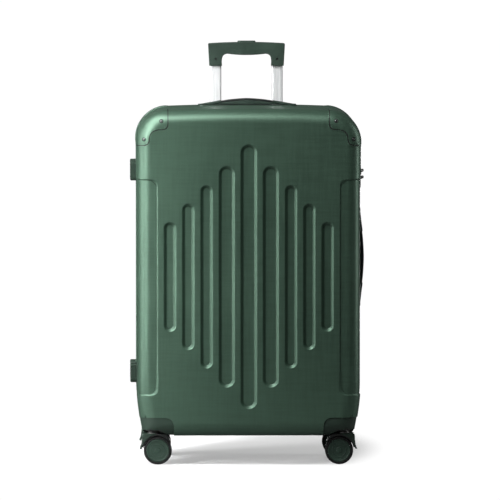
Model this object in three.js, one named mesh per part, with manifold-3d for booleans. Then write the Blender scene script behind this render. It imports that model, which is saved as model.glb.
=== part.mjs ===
// A hard shell suitcase on four twin-wheel casters, with a telescopic trolley handle.
// Millimetres. X is the width (the hinge is at -X, the lock at +X), Y the depth (front at -Y), Z up.
// The origin is on the ground, under the middle of the case.
import * as THREE from 'three';
import { mergeVertices } from 'three/addons/utils/BufferGeometryUtils.js';
import Module from 'manifold-3d';

const wasm = await Module();
wasm.setup();

// Case
const WIDTH = 480;
const DEPTH = 290;
const BODY_BOTTOM = 62;
const BODY_TOP = 762;
const TOP_CORNER_R = 66;
const EDGE_R = 30;
const WALL = 3.2;
const GAP = 0.3;
const RIM_GAP = 4;
const SIDE_TAPER = { inset: 12, mid: 72, top: 115, cornerR: 12 };

// Pressed details of the shells: grooves by distance from the middle, and the sunk side panels
const GROOVES = [
  { x: 0, width: 34, length: 564 },
  { x: 47, width: 33, length: 472 },
  { x: 90, width: 25, length: 390 },
  { x: 129, width: 25, length: 311 },
  { x: 168, width: 25, length: 233 },
];
const GROOVE_MIDDLE_Z = 404;
const GROOVE_DEPTH = 2;
const RECESS = 1.5;
const SIDE_PANEL = { x: 195, bottom: 151, top: 611, cornerR: 16, y: 22 };

// Corner guards: their inner edge is S-shaped and steps down from the inner end to the outer end
const GUARD = { backY: 70, inner: 173, step: 212.5, high: 719, mid: 698, low: 685, r: 13, lowR: 15 };

// Soft parts inside and at the rim
const TAPE_THICK = 2;
const TAPE_WIDTH = 12;
const LINING_THICK = 1.2;
const REAR_LINING_Y = 82;
const DIVIDER_Y = 10.5;

// Casters and their housings
const WHEEL_R = 30;
const WHEEL_WIDTH = 12;
const HUB_R = 24.3;
const WEB_HALF = 3.4;
const CASTER = { x: 203, y: 103, trail: 9 };
const HOUSING = { inner: 160, top: 102, y: 56, cornerR: 21 };
const WELL = { r: 36, roof: 76 };
const STEM_R = 5;
const WHEEL_STEPS = 18;

// Trolley
const TROLLEY_Y = 105;
const TUBE_X = 66.5;
const INNER_TUBE = { w: 24, d: 12 };
const MIDDLE_TUBE = { w: 27.6, d: 15.6 };
const OUTER_TUBE = { w: 31, d: 19 };
const TUBE_WALL = 1.3;
const TUBE_FIT = 0.4;
const GRIP_TOP = 894;
const GRIP = { half: 83, leg: 27.6, height: 48.5, bar: 23, depth: 24, crown: 2.5, bevel: 4 };
const GRIP_CORNERS = { outer: 7, inner: 12 };
const BUTTON = { w: 39, d: 13, proud: 3.2, travel: 3 };
const CUP = { half: 96, y0: 86, y1: 124, recess: 738, pocket: 716, bottom: 708 };

// Carry handles: the same part on the top and on the lock side
const HANDLE = { half: 108, width: 34, base: 2.4, block: 28, blockHeight: 5.5, y: 45 };
const HANDLE_STRAP = { endGap: 1, endHeight: 5.2, margin: 3 };
const HANDLE_PEAK = { top: 15, side: 12.5 };
const SIDE_HANDLE_Z = 435;

// Lock and zip
const LOCK = { z: 616, y0: 13, y1: 41, halfZ: 31, proud: 4, back: 235 };
const DIAL = { r: 5.2, width: 5, pitch: 8, x: 240.6, y: 24 };
const ZIP_PULL_Z = 7.2;
const ZIP_PIN = { x: 5.2, r: 0.8 };

// Side feet
const FOOT = { width: 24, length: 44, outer: 252.5, y: 45, z: [192.5, 625] };

function paint(color, roughness, metalness) {
  return new THREE.MeshStandardMaterial({ color, roughness, metalness });
}
const GREEN = () => paint(0x41574b, 0.38, 0.25);
const GREEN_MATTE = () => paint(0x384a40, 0.6, 0);
const BLACK = () => paint(0x0b0f0d, 0.7, 0);
const FABRIC = () => paint(0x2b302d, 0.9, 0);
const STEEL = () => paint(0xd8dadb, 0.28, 0.9);

// ---------- solids ----------

function solid(geometry) {
  const bare = geometry.clone();
  bare.deleteAttribute('normal');
  bare.deleteAttribute('uv');
  const merged = mergeVertices(bare, 1e-4);
  return new wasm.Manifold(new wasm.Mesh({
    numProp: 3,
    vertProperties: new Float32Array(merged.attributes.position.array),
    triVerts: new Uint32Array(merged.index.array),
  }));
}

function geometryOf(manifold) {
  const mesh = manifold.getMesh();
  const geometry = new THREE.BufferGeometry();
  geometry.setAttribute('position', new THREE.BufferAttribute(new Float32Array(mesh.vertProperties), 3));
  geometry.setIndex(new THREE.BufferAttribute(new Uint32Array(mesh.triVerts), 1));
  geometry.computeVertexNormals();
  return geometry;
}

// Rings with equal numbers of points, joined in order and capped; either winding comes out facing outwards.
function loft(rings) {
  const count = rings[0].length;
  const positions = rings.flat().flatMap((point) => point.toArray());
  const faces = [];
  for (let ring = 0; ring < rings.length - 1; ring += 1) {
    for (let i = 0; i < count; i += 1) {
      const a = ring * count + i;
      const b = ring * count + (i + 1) % count;
      faces.push([a, b, b + count], [a, b + count, a + count]);
    }
  }
  const last = (rings.length - 1) * count;
  for (let i = 1; i < count - 1; i += 1) {
    faces.push([0, i + 1, i], [last, last + i, last + i + 1]);
  }
  const corner = (i) => new THREE.Vector3().fromArray(positions, i * 3);
  const volume = faces.reduce((sum, [a, b, c]) => sum + corner(a).dot(corner(b).cross(corner(c))), 0);
  const outward = volume < 0 ? faces.map(([a, b, c]) => [a, c, b]) : faces;
  const geometry = new THREE.BufferGeometry();
  geometry.setAttribute('position', new THREE.Float32BufferAttribute(positions, 3));
  geometry.setIndex(outward.flat());
  return geometry;
}

const toY = new THREE.Matrix4().makeBasis(
  new THREE.Vector3(1, 0, 0), new THREE.Vector3(0, 0, 1), new THREE.Vector3(0, -1, 0));
const toX = new THREE.Matrix4().makeBasis(
  new THREE.Vector3(0, 1, 0), new THREE.Vector3(0, 0, 1), new THREE.Vector3(1, 0, 0));

function extruded(shape, depth, curveSegments = 5) {
  return new THREE.ExtrudeGeometry(shape, { depth, curveSegments, bevelEnabled: false });
}

// A shape drawn in X and Z, running from y0 to y1.
function alongY(shape, y0, y1, curveSegments) {
  return extruded(shape, y1 - y0, curveSegments).applyMatrix4(toY).translate(0, y1, 0);
}

// A shape drawn in Y and Z, running from x0 to x1.
function alongX(shape, x0, x1, curveSegments) {
  return extruded(shape, x1 - x0, curveSegments).applyMatrix4(toX).translate(x0, 0, 0);
}

// A shape drawn in X and Y, running from z0 to z1.
function alongZ(shape, z0, z1, curveSegments) {
  return extruded(shape, z1 - z0, curveSegments).translate(0, 0, z0);
}

function roundedRect(x0, x1, y0, y1, r, Path = THREE.Shape) {
  const path = new Path();
  path.moveTo(x0 + r, y0);
  path.lineTo(x1 - r, y0);
  path.quadraticCurveTo(x1, y0, x1, y0 + r);
  path.lineTo(x1, y1 - r);
  path.quadraticCurveTo(x1, y1, x1 - r, y1);
  path.lineTo(x0 + r, y1);
  path.quadraticCurveTo(x0, y1, x0, y1 - r);
  path.lineTo(x0, y0 + r);
  path.quadraticCurveTo(x0, y0, x0 + r, y0);
  return path;
}

const centredRect = (w, d, r, Path) => roundedRect(-w / 2, w / 2, -d / 2, d / 2, r, Path);

function box(x0, x1, y0, y1, z0, z1) {
  const geometry = new THREE.BoxGeometry(x1 - x0, y1 - y0, z1 - z0);
  return solid(geometry.translate((x0 + x1) / 2, (y0 + y1) / 2, (z0 + z1) / 2));
}

// A cylinder whose axis is upright.
function upright(r, z0, z1, x = 0, y = 0, segments = 20) {
  const geometry = new THREE.CylinderGeometry(r, r, z1 - z0, segments);
  return solid(geometry.rotateX(Math.PI / 2).translate(x, y, (z0 + z1) / 2));
}

function mirrored(shapeSide, side) {
  return side < 0 ? shapeSide : shapeSide.map((point) => new THREE.Vector2(-point.x, point.y));
}

// ---------- the outline of the case ----------

function arc(cx, cy, r, from, to, steps) {
  return new THREE.EllipseCurve(cx, cy, r, r, from, to, to < from).getPoints(steps);
}

function bend(from, control, to, steps) {
  return new THREE.QuadraticBezierCurve(from, control, to).getPoints(steps);
}

// The front view outline, moved inwards by a distance: round at the top, drawn in a little at the bottom.
function outline(inset) {
  const half = WIDTH / 2 - inset;
  const top = BODY_TOP - inset;
  const bottom = BODY_BOTTOM + inset;
  const r = TOP_CORNER_R - inset;
  const lowR = SIDE_TAPER.cornerR + 0.35 * inset;
  const low = half - SIDE_TAPER.inset;
  const right = [
    ...bend(new THREE.Vector2(low - lowR, bottom), new THREE.Vector2(low - 1, bottom),
      new THREE.Vector2(low, bottom + lowR), 2),
    ...bend(new THREE.Vector2(low, bottom + lowR), new THREE.Vector2(half, bottom + SIDE_TAPER.mid),
      new THREE.Vector2(half, bottom + SIDE_TAPER.top), 3).slice(1),
    ...arc(half - r, top - r, r, 0, Math.PI / 2, 5),
  ];
  const left = right.map((point) => new THREE.Vector2(-point.x, point.y)).reverse();
  return [...right, ...left];
}

const ringAt = (inset, y) => outline(inset).map((point) => new THREE.Vector3(point.x, y, point.y));

// One half of the case as a filled body whose skin is moved inwards by inset; side -1 is the front half.
function halfBody(side, inset, rimY, faceY = DEPTH / 2, edgeR = EDGE_R) {
  const r = edgeR - inset;
  const centre = faceY - edgeR;
  const steps = [0, 1, 2, 3].map((i) => (i * Math.PI) / 6);
  const rings = steps.map((a) => ringAt(inset + r * (1 - Math.cos(a)), side * (centre + r * Math.sin(a))));
  return solid(loft([ringAt(inset, side * rimY), ...rings]));
}

function span(side, near, far) {
  return side < 0 ? [-far, -near] : [near, far];
}

const OUTSIDE = DEPTH;
const FAR = 300;
const ABOVE = BODY_TOP + 38;

// The top corner region under a guard, seen from the front.
function guardShape(side, grow) {
  const { inner, step, high, mid, low, r, lowR } = GUARD;
  const p = (x, z) => new THREE.Vector2(grow - x, z);
  const edge = [
    p(inner, ABOVE), p(inner, high + r - grow),
    ...bend(p(inner, high + r - grow), p(inner, high - grow), p(inner + r, high - grow), 3).slice(1),
    ...bend(p(inner + r, high - grow), p(step, high - grow), p(step, mid), 4).slice(1),
    ...bend(p(step, mid), p(step, low - grow), p(step + lowR, low - grow), 3).slice(1),
    p(FAR, low - grow), p(FAR, ABOVE),
  ];
  return new THREE.Shape(mirrored(edge, side));
}

function guardRegion(side, half, grow) {
  const [y0, y1] = span(half, GUARD.backY - grow, OUTSIDE);
  return solid(alongY(guardShape(side, grow), y0, y1));
}

function sidePanelRegion(side, half) {
  const [x0, x1] = span(side, SIDE_PANEL.x, FAR);
  const [y0, y1] = span(half, SIDE_PANEL.y, OUTSIDE);
  return solid(alongY(roundedRect(x0, x1, SIDE_PANEL.bottom, SIDE_PANEL.top, SIDE_PANEL.cornerR), y0, y1, 3));
}

function housingRegion(side, half, grow) {
  const [x0, x1] = span(side, HOUSING.inner - grow, FAR);
  const [y0, y1] = span(half, HOUSING.y - grow, OUTSIDE);
  const shape = roundedRect(x0, x1, BODY_BOTTOM - 40, HOUSING.top + grow, HOUSING.cornerR);
  return solid(alongY(shape, y0, y1));
}

function grooveCutters(half) {
  const [y0, y1] = span(half, DEPTH / 2 - GROOVE_DEPTH, OUTSIDE);
  const cutters = [];
  for (const { x, width, length } of GROOVES) {
    const w = width / 2;
    const h = length / 2;
    for (const side of x === 0 ? [1] : [-1, 1]) {
      const shape = roundedRect(side * x - w, side * x + w, GROOVE_MIDDLE_Z - h, GROOVE_MIDDLE_Z + h, w);
      cutters.push(solid(alongY(shape, y0, y1, 3)));
    }
  }
  return cutters;
}

// A shell: a plain hollow inside; outside, the sunk regions and the grooves are taken out of its wall.
function shell(half) {
  const sunk = halfBody(half, RECESS, RIM_GAP);
  let body = halfBody(half, 0, RIM_GAP);
  for (const side of [-1, 1]) {
    body = body.subtract(guardRegion(side, half, GAP).subtract(sunk));
    body = body.subtract(sidePanelRegion(side, half).subtract(sunk));
    body = body.subtract(housingRegion(side, half, GAP));
  }
  for (const cutter of grooveCutters(half)) {
    body = body.subtract(cutter);
  }
  return body.subtract(halfBody(half, WALL, -1));
}

function guard(side, half) {
  return halfBody(half, 0, RIM_GAP)
    .intersect(guardRegion(side, half, 0))
    .subtract(halfBody(half, RECESS - GAP, -1));
}

// A corner housing: the case's own skin in the bottom corner, with a round well that the caster turns in.
function housing(side, half) {
  const x = side * CASTER.x;
  const y = half * CASTER.y;
  const skin = halfBody(half, 0, RIM_GAP).intersect(housingRegion(side, half, 0));
  const hollow = halfBody(half, WALL, RIM_GAP).subtract(upright(WELL.r + WALL, 0, WELL.roof + WALL, x, y));
  return skin
    .subtract(hollow)
    .subtract(upright(WELL.r, 0, WELL.roof, x, y))
    .subtract(upright(STEM_R + TUBE_FIT, 0, HOUSING.top, x, y, 12));
}

function lining(half, faceY) {
  const outer = WALL + TAPE_THICK + 2 * GAP;
  const tray = (inset, rimY) => {
    let body = halfBody(half, inset, rimY, faceY);
    for (const side of [-1, 1]) {
      body = body.subtract(housingRegion(side, half, inset - outer + 2 * GAP));
    }
    return body;
  };
  return tray(outer, 2).subtract(tray(outer + LINING_THICK, -1));
}

function zipperTape(half) {
  const inset = WALL + GAP;
  const band = (d, from, to) => solid(loft([ringAt(d, half * from), ringAt(d, half * to)]));
  return band(inset, GAP / 2, TAPE_WIDTH).subtract(band(inset + TAPE_THICK, -1, TAPE_WIDTH + 1));
}

function foot(half, z, base) {
  const ring = (shrink, x) => roundedRect(
    half * FOOT.y - FOOT.width / 2 + shrink, half * FOOT.y + FOOT.width / 2 - shrink,
    z - FOOT.length / 2 + shrink, z + FOOT.length / 2 - shrink, 8,
  ).getPoints(3).slice(1).map((point) => new THREE.Vector3(-x, point.x, point.y));
  return loft([ring(0, base + GAP), ring(1.2, FOOT.outer - 2), ring(3, FOOT.outer)]);
}

// ---------- casters ----------

// Built round the wheel's own axis, which runs along Y: the stem side of the caster is at -X.
function hubGeometry() {
  const near = WEB_HALF + 1;
  const far = near + WHEEL_WIDTH;
  const bore = STEM_R / 2 + TUBE_FIT + 0.5;
  const profile = [[0, far], [HUB_R, far], [HUB_R, near],
    [bore, near], [bore, far - 2], [0, far - 2]];
  return new THREE.LatheGeometry(profile.map(([r, y]) => new THREE.Vector2(r, y)).reverse(), WHEEL_STEPS);
}

function tyreGeometry() {
  const near = WEB_HALF + 1;
  const far = near + WHEEL_WIDTH;
  const inner = HUB_R + GAP;
  const profile = [[inner, near], [WHEEL_R - 1.5, near], [WHEEL_R, near + 3],
    [WHEEL_R, far - 3], [WHEEL_R - 1.5, far - 0.5], [inner, far - 0.5], [inner, near]];
  return new THREE.LatheGeometry(profile.map(([r, y]) => new THREE.Vector2(r, y)), WHEEL_STEPS);
}

// The fork: a hood over both wheels with a pointed skirt on the stem side, a web between the wheels,
// the axle and the upright stem, as one riveted unit.
function forkSolid() {
  const hoodHalf = WEB_HALF + WHEEL_WIDTH + 3;
  const clear = WHEEL_R + 3;
  const hood = new THREE.Shape([
    new THREE.Vector2(-38.5, 5),
    ...arc(0, 0, clear, Math.PI * 0.955, Math.PI * 0.33, 8),
    new THREE.Vector2(clear * 0.5 + 1.5, 34), new THREE.Vector2(clear * 0.5 - 4, 37),
    new THREE.Vector2(-30, 37), new THREE.Vector2(-34, 34), new THREE.Vector2(-34, 24),
  ]);
  const web = new THREE.Shape([
    ...arc(0, 0, 8, -Math.PI * 0.75, -Math.PI * 0.1, 6),
    new THREE.Vector2(28.5, 3), new THREE.Vector2(18, 34),
    new THREE.Vector2(-31, 34), new THREE.Vector2(-31, 20),
  ]);
  const axleR = STEM_R / 2 + TUBE_FIT;
  const axle = new THREE.CylinderGeometry(axleR, axleR, 2 * (WEB_HALF + WHEEL_WIDTH - 2), 12);
  const stem = new THREE.CylinderGeometry(STEM_R, STEM_R, 20, 12);
  stem.rotateX(Math.PI / 2).translate(-CASTER.trail, 0, 44);
  return solid(alongY(hood, -hoodHalf, hoodHalf))
    .add(solid(alongY(web, -WEB_HALF, WEB_HALF)))
    .add(solid(axle))
    .add(solid(stem));
}

function caster(name, side, half, parts) {
  const group = new THREE.Group();
  group.position.set(side * (CASTER.x - CASTER.trail), half * CASTER.y, WHEEL_R);
  group.rotation.z = side < 0 ? 0 : Math.PI;
  group.add(node(`${name}_fork`, parts.fork, GREEN_MATTE()));
  for (const [index, facing] of [[1, half * side], [2, -half * side]]) {
    const wheel = new THREE.Group();
    wheel.rotation.z = facing > 0 ? 0 : Math.PI;
    wheel.add(node(`${name}_hub_${index}`, parts.hub, GREEN_MATTE()));
    wheel.add(node(`${name}_tyre_${index}`, parts.tyre, BLACK()));
    group.add(wheel);
  }
  return group;
}

// ---------- trolley ----------

function tube({ w, d }, z0, z1, wall = TUBE_WALL) {
  const shape = centredRect(w, d, d / 3);
  shape.holes.push(centredRect(w - 2 * wall, d - 2 * wall, d / 3 - 1, THREE.Path));
  return alongZ(shape, z0, z1, 3);
}

function gripSolid() {
  const { half, leg, height, bar, depth, crown, bevel } = GRIP;
  const { outer: cornerR, inner: innerR } = GRIP_CORNERS;
  const inner = TUBE_X - leg / 2;
  const shape = new THREE.Shape();
  shape.moveTo(-TUBE_X - leg / 2, -height);
  shape.lineTo(-half, -cornerR);
  shape.quadraticCurveTo(-half, 0, -half + cornerR, 0);
  shape.quadraticCurveTo(0, 2 * crown, half - cornerR, 0);
  shape.quadraticCurveTo(half, 0, half, -cornerR);
  shape.lineTo(TUBE_X + leg / 2, -height);
  shape.lineTo(inner, -height);
  shape.lineTo(inner, -bar - innerR);
  shape.quadraticCurveTo(inner, -bar, inner - innerR, -bar);
  shape.quadraticCurveTo(0, -bar - 2 * crown, -inner + innerR, -bar);
  shape.quadraticCurveTo(-inner, -bar, -inner, -bar - innerR);
  shape.lineTo(-inner, -height);
  const body = new THREE.ExtrudeGeometry(shape, {
    depth: depth - 2 * bevel, curveSegments: 4, steps: 1,
    bevelEnabled: true, bevelThickness: bevel, bevelSize: bevel, bevelOffset: -bevel, bevelSegments: 1,
  });
  body.applyMatrix4(toY).translate(0, depth / 2 - bevel, 0);
  const socket = centredRect(INNER_TUBE.w + 2 * TUBE_FIT, INNER_TUBE.d + 2 * TUBE_FIT, INNER_TUBE.d / 3);
  let grip = solid(body);
  for (const side of [-1, 1]) {
    grip = grip.subtract(solid(alongZ(socket, -height - 1, -height + 20, 3).translate(side * TUBE_X, 0, 0)));
  }
  const pocket = centredRect(BUTTON.w + 2 * TUBE_FIT, BUTTON.d + 2 * TUBE_FIT, BUTTON.d / 2);
  return grip.subtract(solid(alongZ(pocket, -12, 10, 3)));
}

function cupSolid() {
  const rect = (grow, r) => roundedRect(-CUP.half - grow, CUP.half + grow, CUP.y0 - grow, CUP.y1 + grow, r);
  const middle = (CUP.y0 + CUP.y1) / 2;
  let cup = solid(alongZ(rect(0, 12), CUP.bottom, BODY_TOP + 0.5))
    .add(solid(alongZ(rect(3, 14), BODY_TOP + GAP, BODY_TOP + 1.8)))
    .subtract(solid(alongZ(rect(-3, 10), CUP.recess, BODY_TOP + 10)));
  const pocket = centredRect(GRIP.leg + 4, GRIP.depth + 1, 6);
  const hole = centredRect(MIDDLE_TUBE.w + 2 * TUBE_FIT, MIDDLE_TUBE.d + 2 * TUBE_FIT, MIDDLE_TUBE.d / 3);
  for (const side of [-1, 1]) {
    cup = cup
      .subtract(solid(alongZ(pocket, CUP.pocket, BODY_TOP, 3).translate(side * TUBE_X, middle, 0)))
      .subtract(solid(alongZ(hole, CUP.bottom - 1, BODY_TOP, 3).translate(side * TUBE_X, middle, 0)));
  }
  const between = TUBE_X - OUTER_TUBE.w / 2 - 8;
  return cup.subtract(box(-between, between, CUP.y0 - 1, CUP.y1 + 1, CUP.bottom - 1, CUP.recess - WALL));
}

function outerFrame() {
  const z0 = BODY_BOTTOM + 30;
  const bar = roundedRect(-TUBE_X - 24, TUBE_X + 24, TROLLEY_Y - 12, TROLLEY_Y + 12, 6);
  let frame = solid(alongZ(bar, z0 - 10, z0));
  for (const side of [-1, 1]) {
    const top = CUP.bottom - GAP;
    frame = frame.add(solid(tube(OUTER_TUBE, z0 - 4, top).translate(side * TUBE_X, TROLLEY_Y, 0)));
  }
  return frame;
}

// ---------- carry handles, built lying along X with +Z away from the case ----------

function handleBase() {
  const { half, width, base, block, blockHeight } = HANDLE;
  let body = solid(alongZ(centredRect(2 * half, width, 14), GAP, base, 4));
  for (const side of [-1, 1]) {
    const [x0, x1] = span(side, half - block, half);
    body = body.add(solid(alongZ(roundedRect(x0, x1, -width / 2, width / 2, 12), base - 1, blockHeight, 4)));
  }
  return body;
}

// The padded strap between the two blocks, arched on top and flat on its base.
function handleStrap(peak) {
  const { endGap, endHeight, margin } = HANDLE_STRAP;
  const end = HANDLE.half - HANDLE.block - endGap;
  const p = (x, z) => new THREE.Vector2(x, z);
  const arch = bend(p(-end, endHeight), p(0, 2 * peak - endHeight), p(end, endHeight), 10);
  const low = HANDLE.base + GAP;
  const shape = new THREE.Shape([...arch, p(end, low), p(-end, low)]);
  return alongY(shape, margin - HANDLE.width / 2, HANDLE.width / 2 - margin);
}

// ---------- lock and zip ----------

function lockBody() {
  const { y0, y1, halfZ, proud, back, z } = LOCK;
  const face = WIDTH / 2 + proud;
  let body = solid(alongX(roundedRect(y0, y1, z - halfZ, z + halfZ, 6), back, face));
  for (const i of [-1, 0, 1]) {
    const dialZ = z + i * DIAL.pitch;
    const [half, clear] = [DIAL.width / 2 + TUBE_FIT, DIAL.r + TUBE_FIT];
    body = body.subtract(box(back - 1, face + 1, DIAL.y - clear, DIAL.y + clear, dialZ - half, dialZ + half));
  }
  const key = releaseShape(TUBE_FIT);
  return body.subtract(solid(alongX(key, back + 3, face + 1)));
}

const releaseShape = (grow) => roundedRect(
  LOCK.y1 - 8 - grow, LOCK.y1 - 3 + grow, LOCK.z - 12 - grow, LOCK.z + 12 + grow, 2.4);

function dial() {
  const geometry = new THREE.CylinderGeometry(DIAL.r, DIAL.r, DIAL.width, 16);
  return geometry.rotateX(Math.PI / 2);
}

// The slider over the chain: two ears carry a pin along Z, which the pull tab turns on.
function slider() {
  const skin = WIDTH / 2;
  let body = solid(alongX(roundedRect(-3.5, 3.5, -5.5, 5.5, 2.5), skin - 2.6, skin + 1));
  for (const side of [-1, 1]) {
    const [z0, z1] = span(side, 2.2, 3.6);
    body = body.add(box(skin, skin + ZIP_PIN.x + 1.4, -1.6, 1.6, z0, z1));
  }
  return body.add(upright(ZIP_PIN.r, -3, 3, skin + ZIP_PIN.x, 0, 8));
}

// The tab lies from its pin towards the lock.
function pullTab() {
  const x = WIDTH / 2 + ZIP_PIN.x;
  const plate = roundedRect(2.4, 17, -3.3, 3.3, 1.6);
  return solid(alongX(plate, x - 0.9, x + 0.9, 3))
    .add(box(x - 0.9, x + 0.9, 0, 3, -1.8, 1.8))
    .add(upright(1.9, -1.8, 1.8, x, 0, 12))
    .subtract(upright(ZIP_PIN.r + TUBE_FIT, -3, 3, x, 0, 8));
}

// ---------- the assembly ----------

function node(name, shape, material) {
  const geometry = shape.isBufferGeometry ? shape.clone() : geometryOf(shape);
  const mesh = new THREE.Mesh(geometry, material);
  mesh.name = name;
  return mesh;
}

const group = new THREE.Group();

const casterParts = { fork: forkSolid(), hub: hubGeometry(), tyre: tyreGeometry() };
const HALVES = [['front', -1], ['rear', 1]];
const SIDES = [['left', -1], ['right', 1]];

const frontShell = shell(-1);
const cupHole = solid(alongZ(
  roundedRect(-CUP.half - GAP, CUP.half + GAP, CUP.y0 - GAP, CUP.y1 + GAP, 12), 700, 800));
const lockHole = solid(alongX(roundedRect(
  LOCK.y0 - GAP, LOCK.y1 + GAP, LOCK.z - LOCK.halfZ - GAP, LOCK.z + LOCK.halfZ + GAP, 6), 220, 260));
const rearShell = shell(1).subtract(cupHole).subtract(lockHole);
const shells = { front: frontShell, rear: rearShell };
const liningFaces = { front: DEPTH / 2 - WALL - 2, rear: REAR_LINING_Y };

for (const [name, half] of HALVES) {
  group.add(node(`${name}_shell`, shells[name], GREEN()));
  group.add(node(`${name}_lining`, lining(half, liningFaces[name]), FABRIC()));
  group.add(node(`${name}_zipper_tape`, zipperTape(half), BLACK()));
  for (const [sideName, side] of SIDES) {
    group.add(node(`${name}_guard_${sideName}`, guard(side, half), GREEN()));
    group.add(node(`${name}_wheel_housing_${sideName}`, housing(side, half), GREEN_MATTE()));
    group.add(caster(`${name}_${sideName}`, side, half, casterParts));
  }
  const bases = [WIDTH / 2 - RECESS, WIDTH / 2];
  for (const [index, level] of ['lower', 'upper'].entries()) {
    group.add(node(`${name}_foot_${level}`, foot(half, FOOT.z[index], bases[index]), GREEN_MATTE()));
  }
}

const dividerInset = WALL + TAPE_THICK + LINING_THICK + 4 * GAP;
group.add(node('divider_panel', loft([
  ringAt(dividerInset, -DIVIDER_Y), ringAt(dividerInset, -DIVIDER_Y - 1.5),
]), FABRIC()));

group.add(node('trolley_cup', cupSolid(), GREEN_MATTE()));
group.add(node('trolley_outer_frame', outerFrame(), STEEL()));
for (const [sideName, side] of SIDES) {
  const middle = node(`trolley_middle_tube_${sideName}`, tube(MIDDLE_TUBE, 110, CUP.pocket - 1), STEEL());
  middle.position.set(side * TUBE_X, TROLLEY_Y, 0);
  const innerTop = GRIP_TOP - GRIP.height + 19;
  const inner = node(`trolley_inner_tube_${sideName}`, tube(INNER_TUBE, 245, innerTop), STEEL());
  inner.position.set(side * TUBE_X, TROLLEY_Y, 0);
  group.add(middle, inner);
}
const grip = node('trolley_grip', gripSolid(), GREEN_MATTE());
grip.position.set(0, TROLLEY_Y, GRIP_TOP);
const buttonShape = centredRect(BUTTON.w, BUTTON.d, BUTTON.d / 2);
const buttonTop = BUTTON.proud + GRIP.crown;
const button = node('grip_button', alongZ(buttonShape, -11 + BUTTON.travel, buttonTop, 4), GREEN_MATTE());
button.position.copy(grip.position);
group.add(grip, button);

for (const place of ['top', 'side']) {
  const handle = new THREE.Group();
  handle.add(node(`${place}_handle_base`, handleBase(), GREEN_MATTE()));
  handle.add(node(`${place}_handle_strap`, handleStrap(HANDLE_PEAK[place]), GREEN_MATTE()));
  if (place === 'top') {
    handle.position.set(0, HANDLE.y, BODY_TOP);
  } else {
    handle.position.set(WIDTH / 2, HANDLE.y, SIDE_HANDLE_Z);
    handle.rotation.y = Math.PI / 2;
  }
  group.add(handle);
}

group.add(node('lock_body', lockBody(), BLACK()));
for (const i of [0, 1, 2]) {
  const wheel = node(`lock_dial_${i + 1}`, dial(), STEEL());
  wheel.position.set(DIAL.x, DIAL.y, LOCK.z + (1 - i) * DIAL.pitch);
  group.add(wheel);
}
const releaseTop = WIDTH / 2 + LOCK.proud + 1.5;
group.add(node('lock_release', alongX(releaseShape(0), LOCK.back + 5, releaseTop), STEEL()));
for (const [level, sign] of [['upper', 1], ['lower', -1]]) {
  const z = LOCK.z + sign * ZIP_PULL_Z;
  const body = node(`zip_slider_${level}`, slider(), STEEL());
  const tab = node(`zip_pull_${level}`, pullTab(), STEEL());
  body.position.z = z;
  tab.position.z = z;
  group.add(body, tab);
}

export default group;
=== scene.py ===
"""A hard shell suitcase on four twin-wheel casters, with its trolley handle half out.
Shapes are built in millimetres, in the frame of the CAD part, and scaled to metres as they become meshes."""
import math

import bmesh
import bpy
import numpy as np
from mathutils import Matrix, Vector, noise
from mathutils.geometry import tessellate_polygon


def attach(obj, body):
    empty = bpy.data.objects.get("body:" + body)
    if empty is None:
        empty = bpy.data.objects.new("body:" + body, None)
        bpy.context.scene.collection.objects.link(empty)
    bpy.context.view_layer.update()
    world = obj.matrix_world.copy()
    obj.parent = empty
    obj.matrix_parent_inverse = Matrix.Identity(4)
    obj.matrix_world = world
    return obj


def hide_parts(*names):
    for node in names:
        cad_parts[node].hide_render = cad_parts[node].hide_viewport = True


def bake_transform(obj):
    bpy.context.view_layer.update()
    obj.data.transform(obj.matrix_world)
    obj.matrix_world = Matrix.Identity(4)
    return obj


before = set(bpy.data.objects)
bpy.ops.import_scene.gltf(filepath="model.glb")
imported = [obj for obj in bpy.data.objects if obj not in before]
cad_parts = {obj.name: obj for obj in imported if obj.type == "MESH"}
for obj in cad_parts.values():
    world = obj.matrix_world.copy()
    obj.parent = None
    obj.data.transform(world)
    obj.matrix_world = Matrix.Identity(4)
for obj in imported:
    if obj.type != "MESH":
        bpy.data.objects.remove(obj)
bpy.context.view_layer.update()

MM = 0.001
PI = math.pi

# ---------- sizes in millimetres: the CAD part's, but grooves, panels and guards have more relief ----------

WIDTH, DEPTH = 480, 290
BOTTOM, TOP = 62, 762
CORNER_R, EDGE_R, WALL = 66, 30, 3.2
FACE_Y = DEPTH / 2
INNER_FACE_Y = 138.4
RIM_Y = 4
CAMBER = 3.5
GROOVES = [(0, 34, 564), (47, 33, 472), (90, 25, 390), (129, 25, 311), (168, 25, 233)]
GROOVE_Z, GROOVE_DEPTH, GROOVE_WALL, GROOVE_LIP = 404, 5.6, 8.0, 1.6
PANEL_X, PANEL_LOW, PANEL_HIGH, PANEL_R, PANEL_Y, PANEL_DEPTH = 195, 151, 611, 16, 22, 1.9
GUARD_BACK_Y, GUARD_PROUD = 70, 1.0
GUARD = {"inner": 173, "step": 212.5, "high": 719, "mid": 698, "low": 685, "r": 13, "low_r": 15}
RIVETS = ((-186, 740), (-223, 703))
HOUSING_X, HOUSING_TOP, HOUSING_Y, HOUSING_R = 160, 102, 56, 21
CASTER_X, CASTER_Y, TRAIL, WHEEL_R, HUB_R = 203, 103, 9, 30, 24.3
WELL_R, WELL_ROOF = 36, 76
TUBE_X, TROLLEY_Y, GRIP_TOP = 66.5, 105, 894
FOOT_Y, FOOT_Z = 45, (192.5, 626)
HANDLE_Y, SIDE_HANDLE_Z = 45, 435
LOCK_Z, LOCK_Y0, LOCK_Y1, LOCK_HALF, LOCK_FACE = 616, 13, 41, 31, 244
DIAL_X, DIAL_Y, DIAL_STEP, DIAL_TEETH, DIAL_PLATES = 240.6, 24, 8, 30, 10
KEYHOLE_Z = LOCK_Z - 22
PAST_LOCK = 250

# ---------- small helpers ----------


def lerp(a, b, t):
    return a + (b - a) * t


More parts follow.
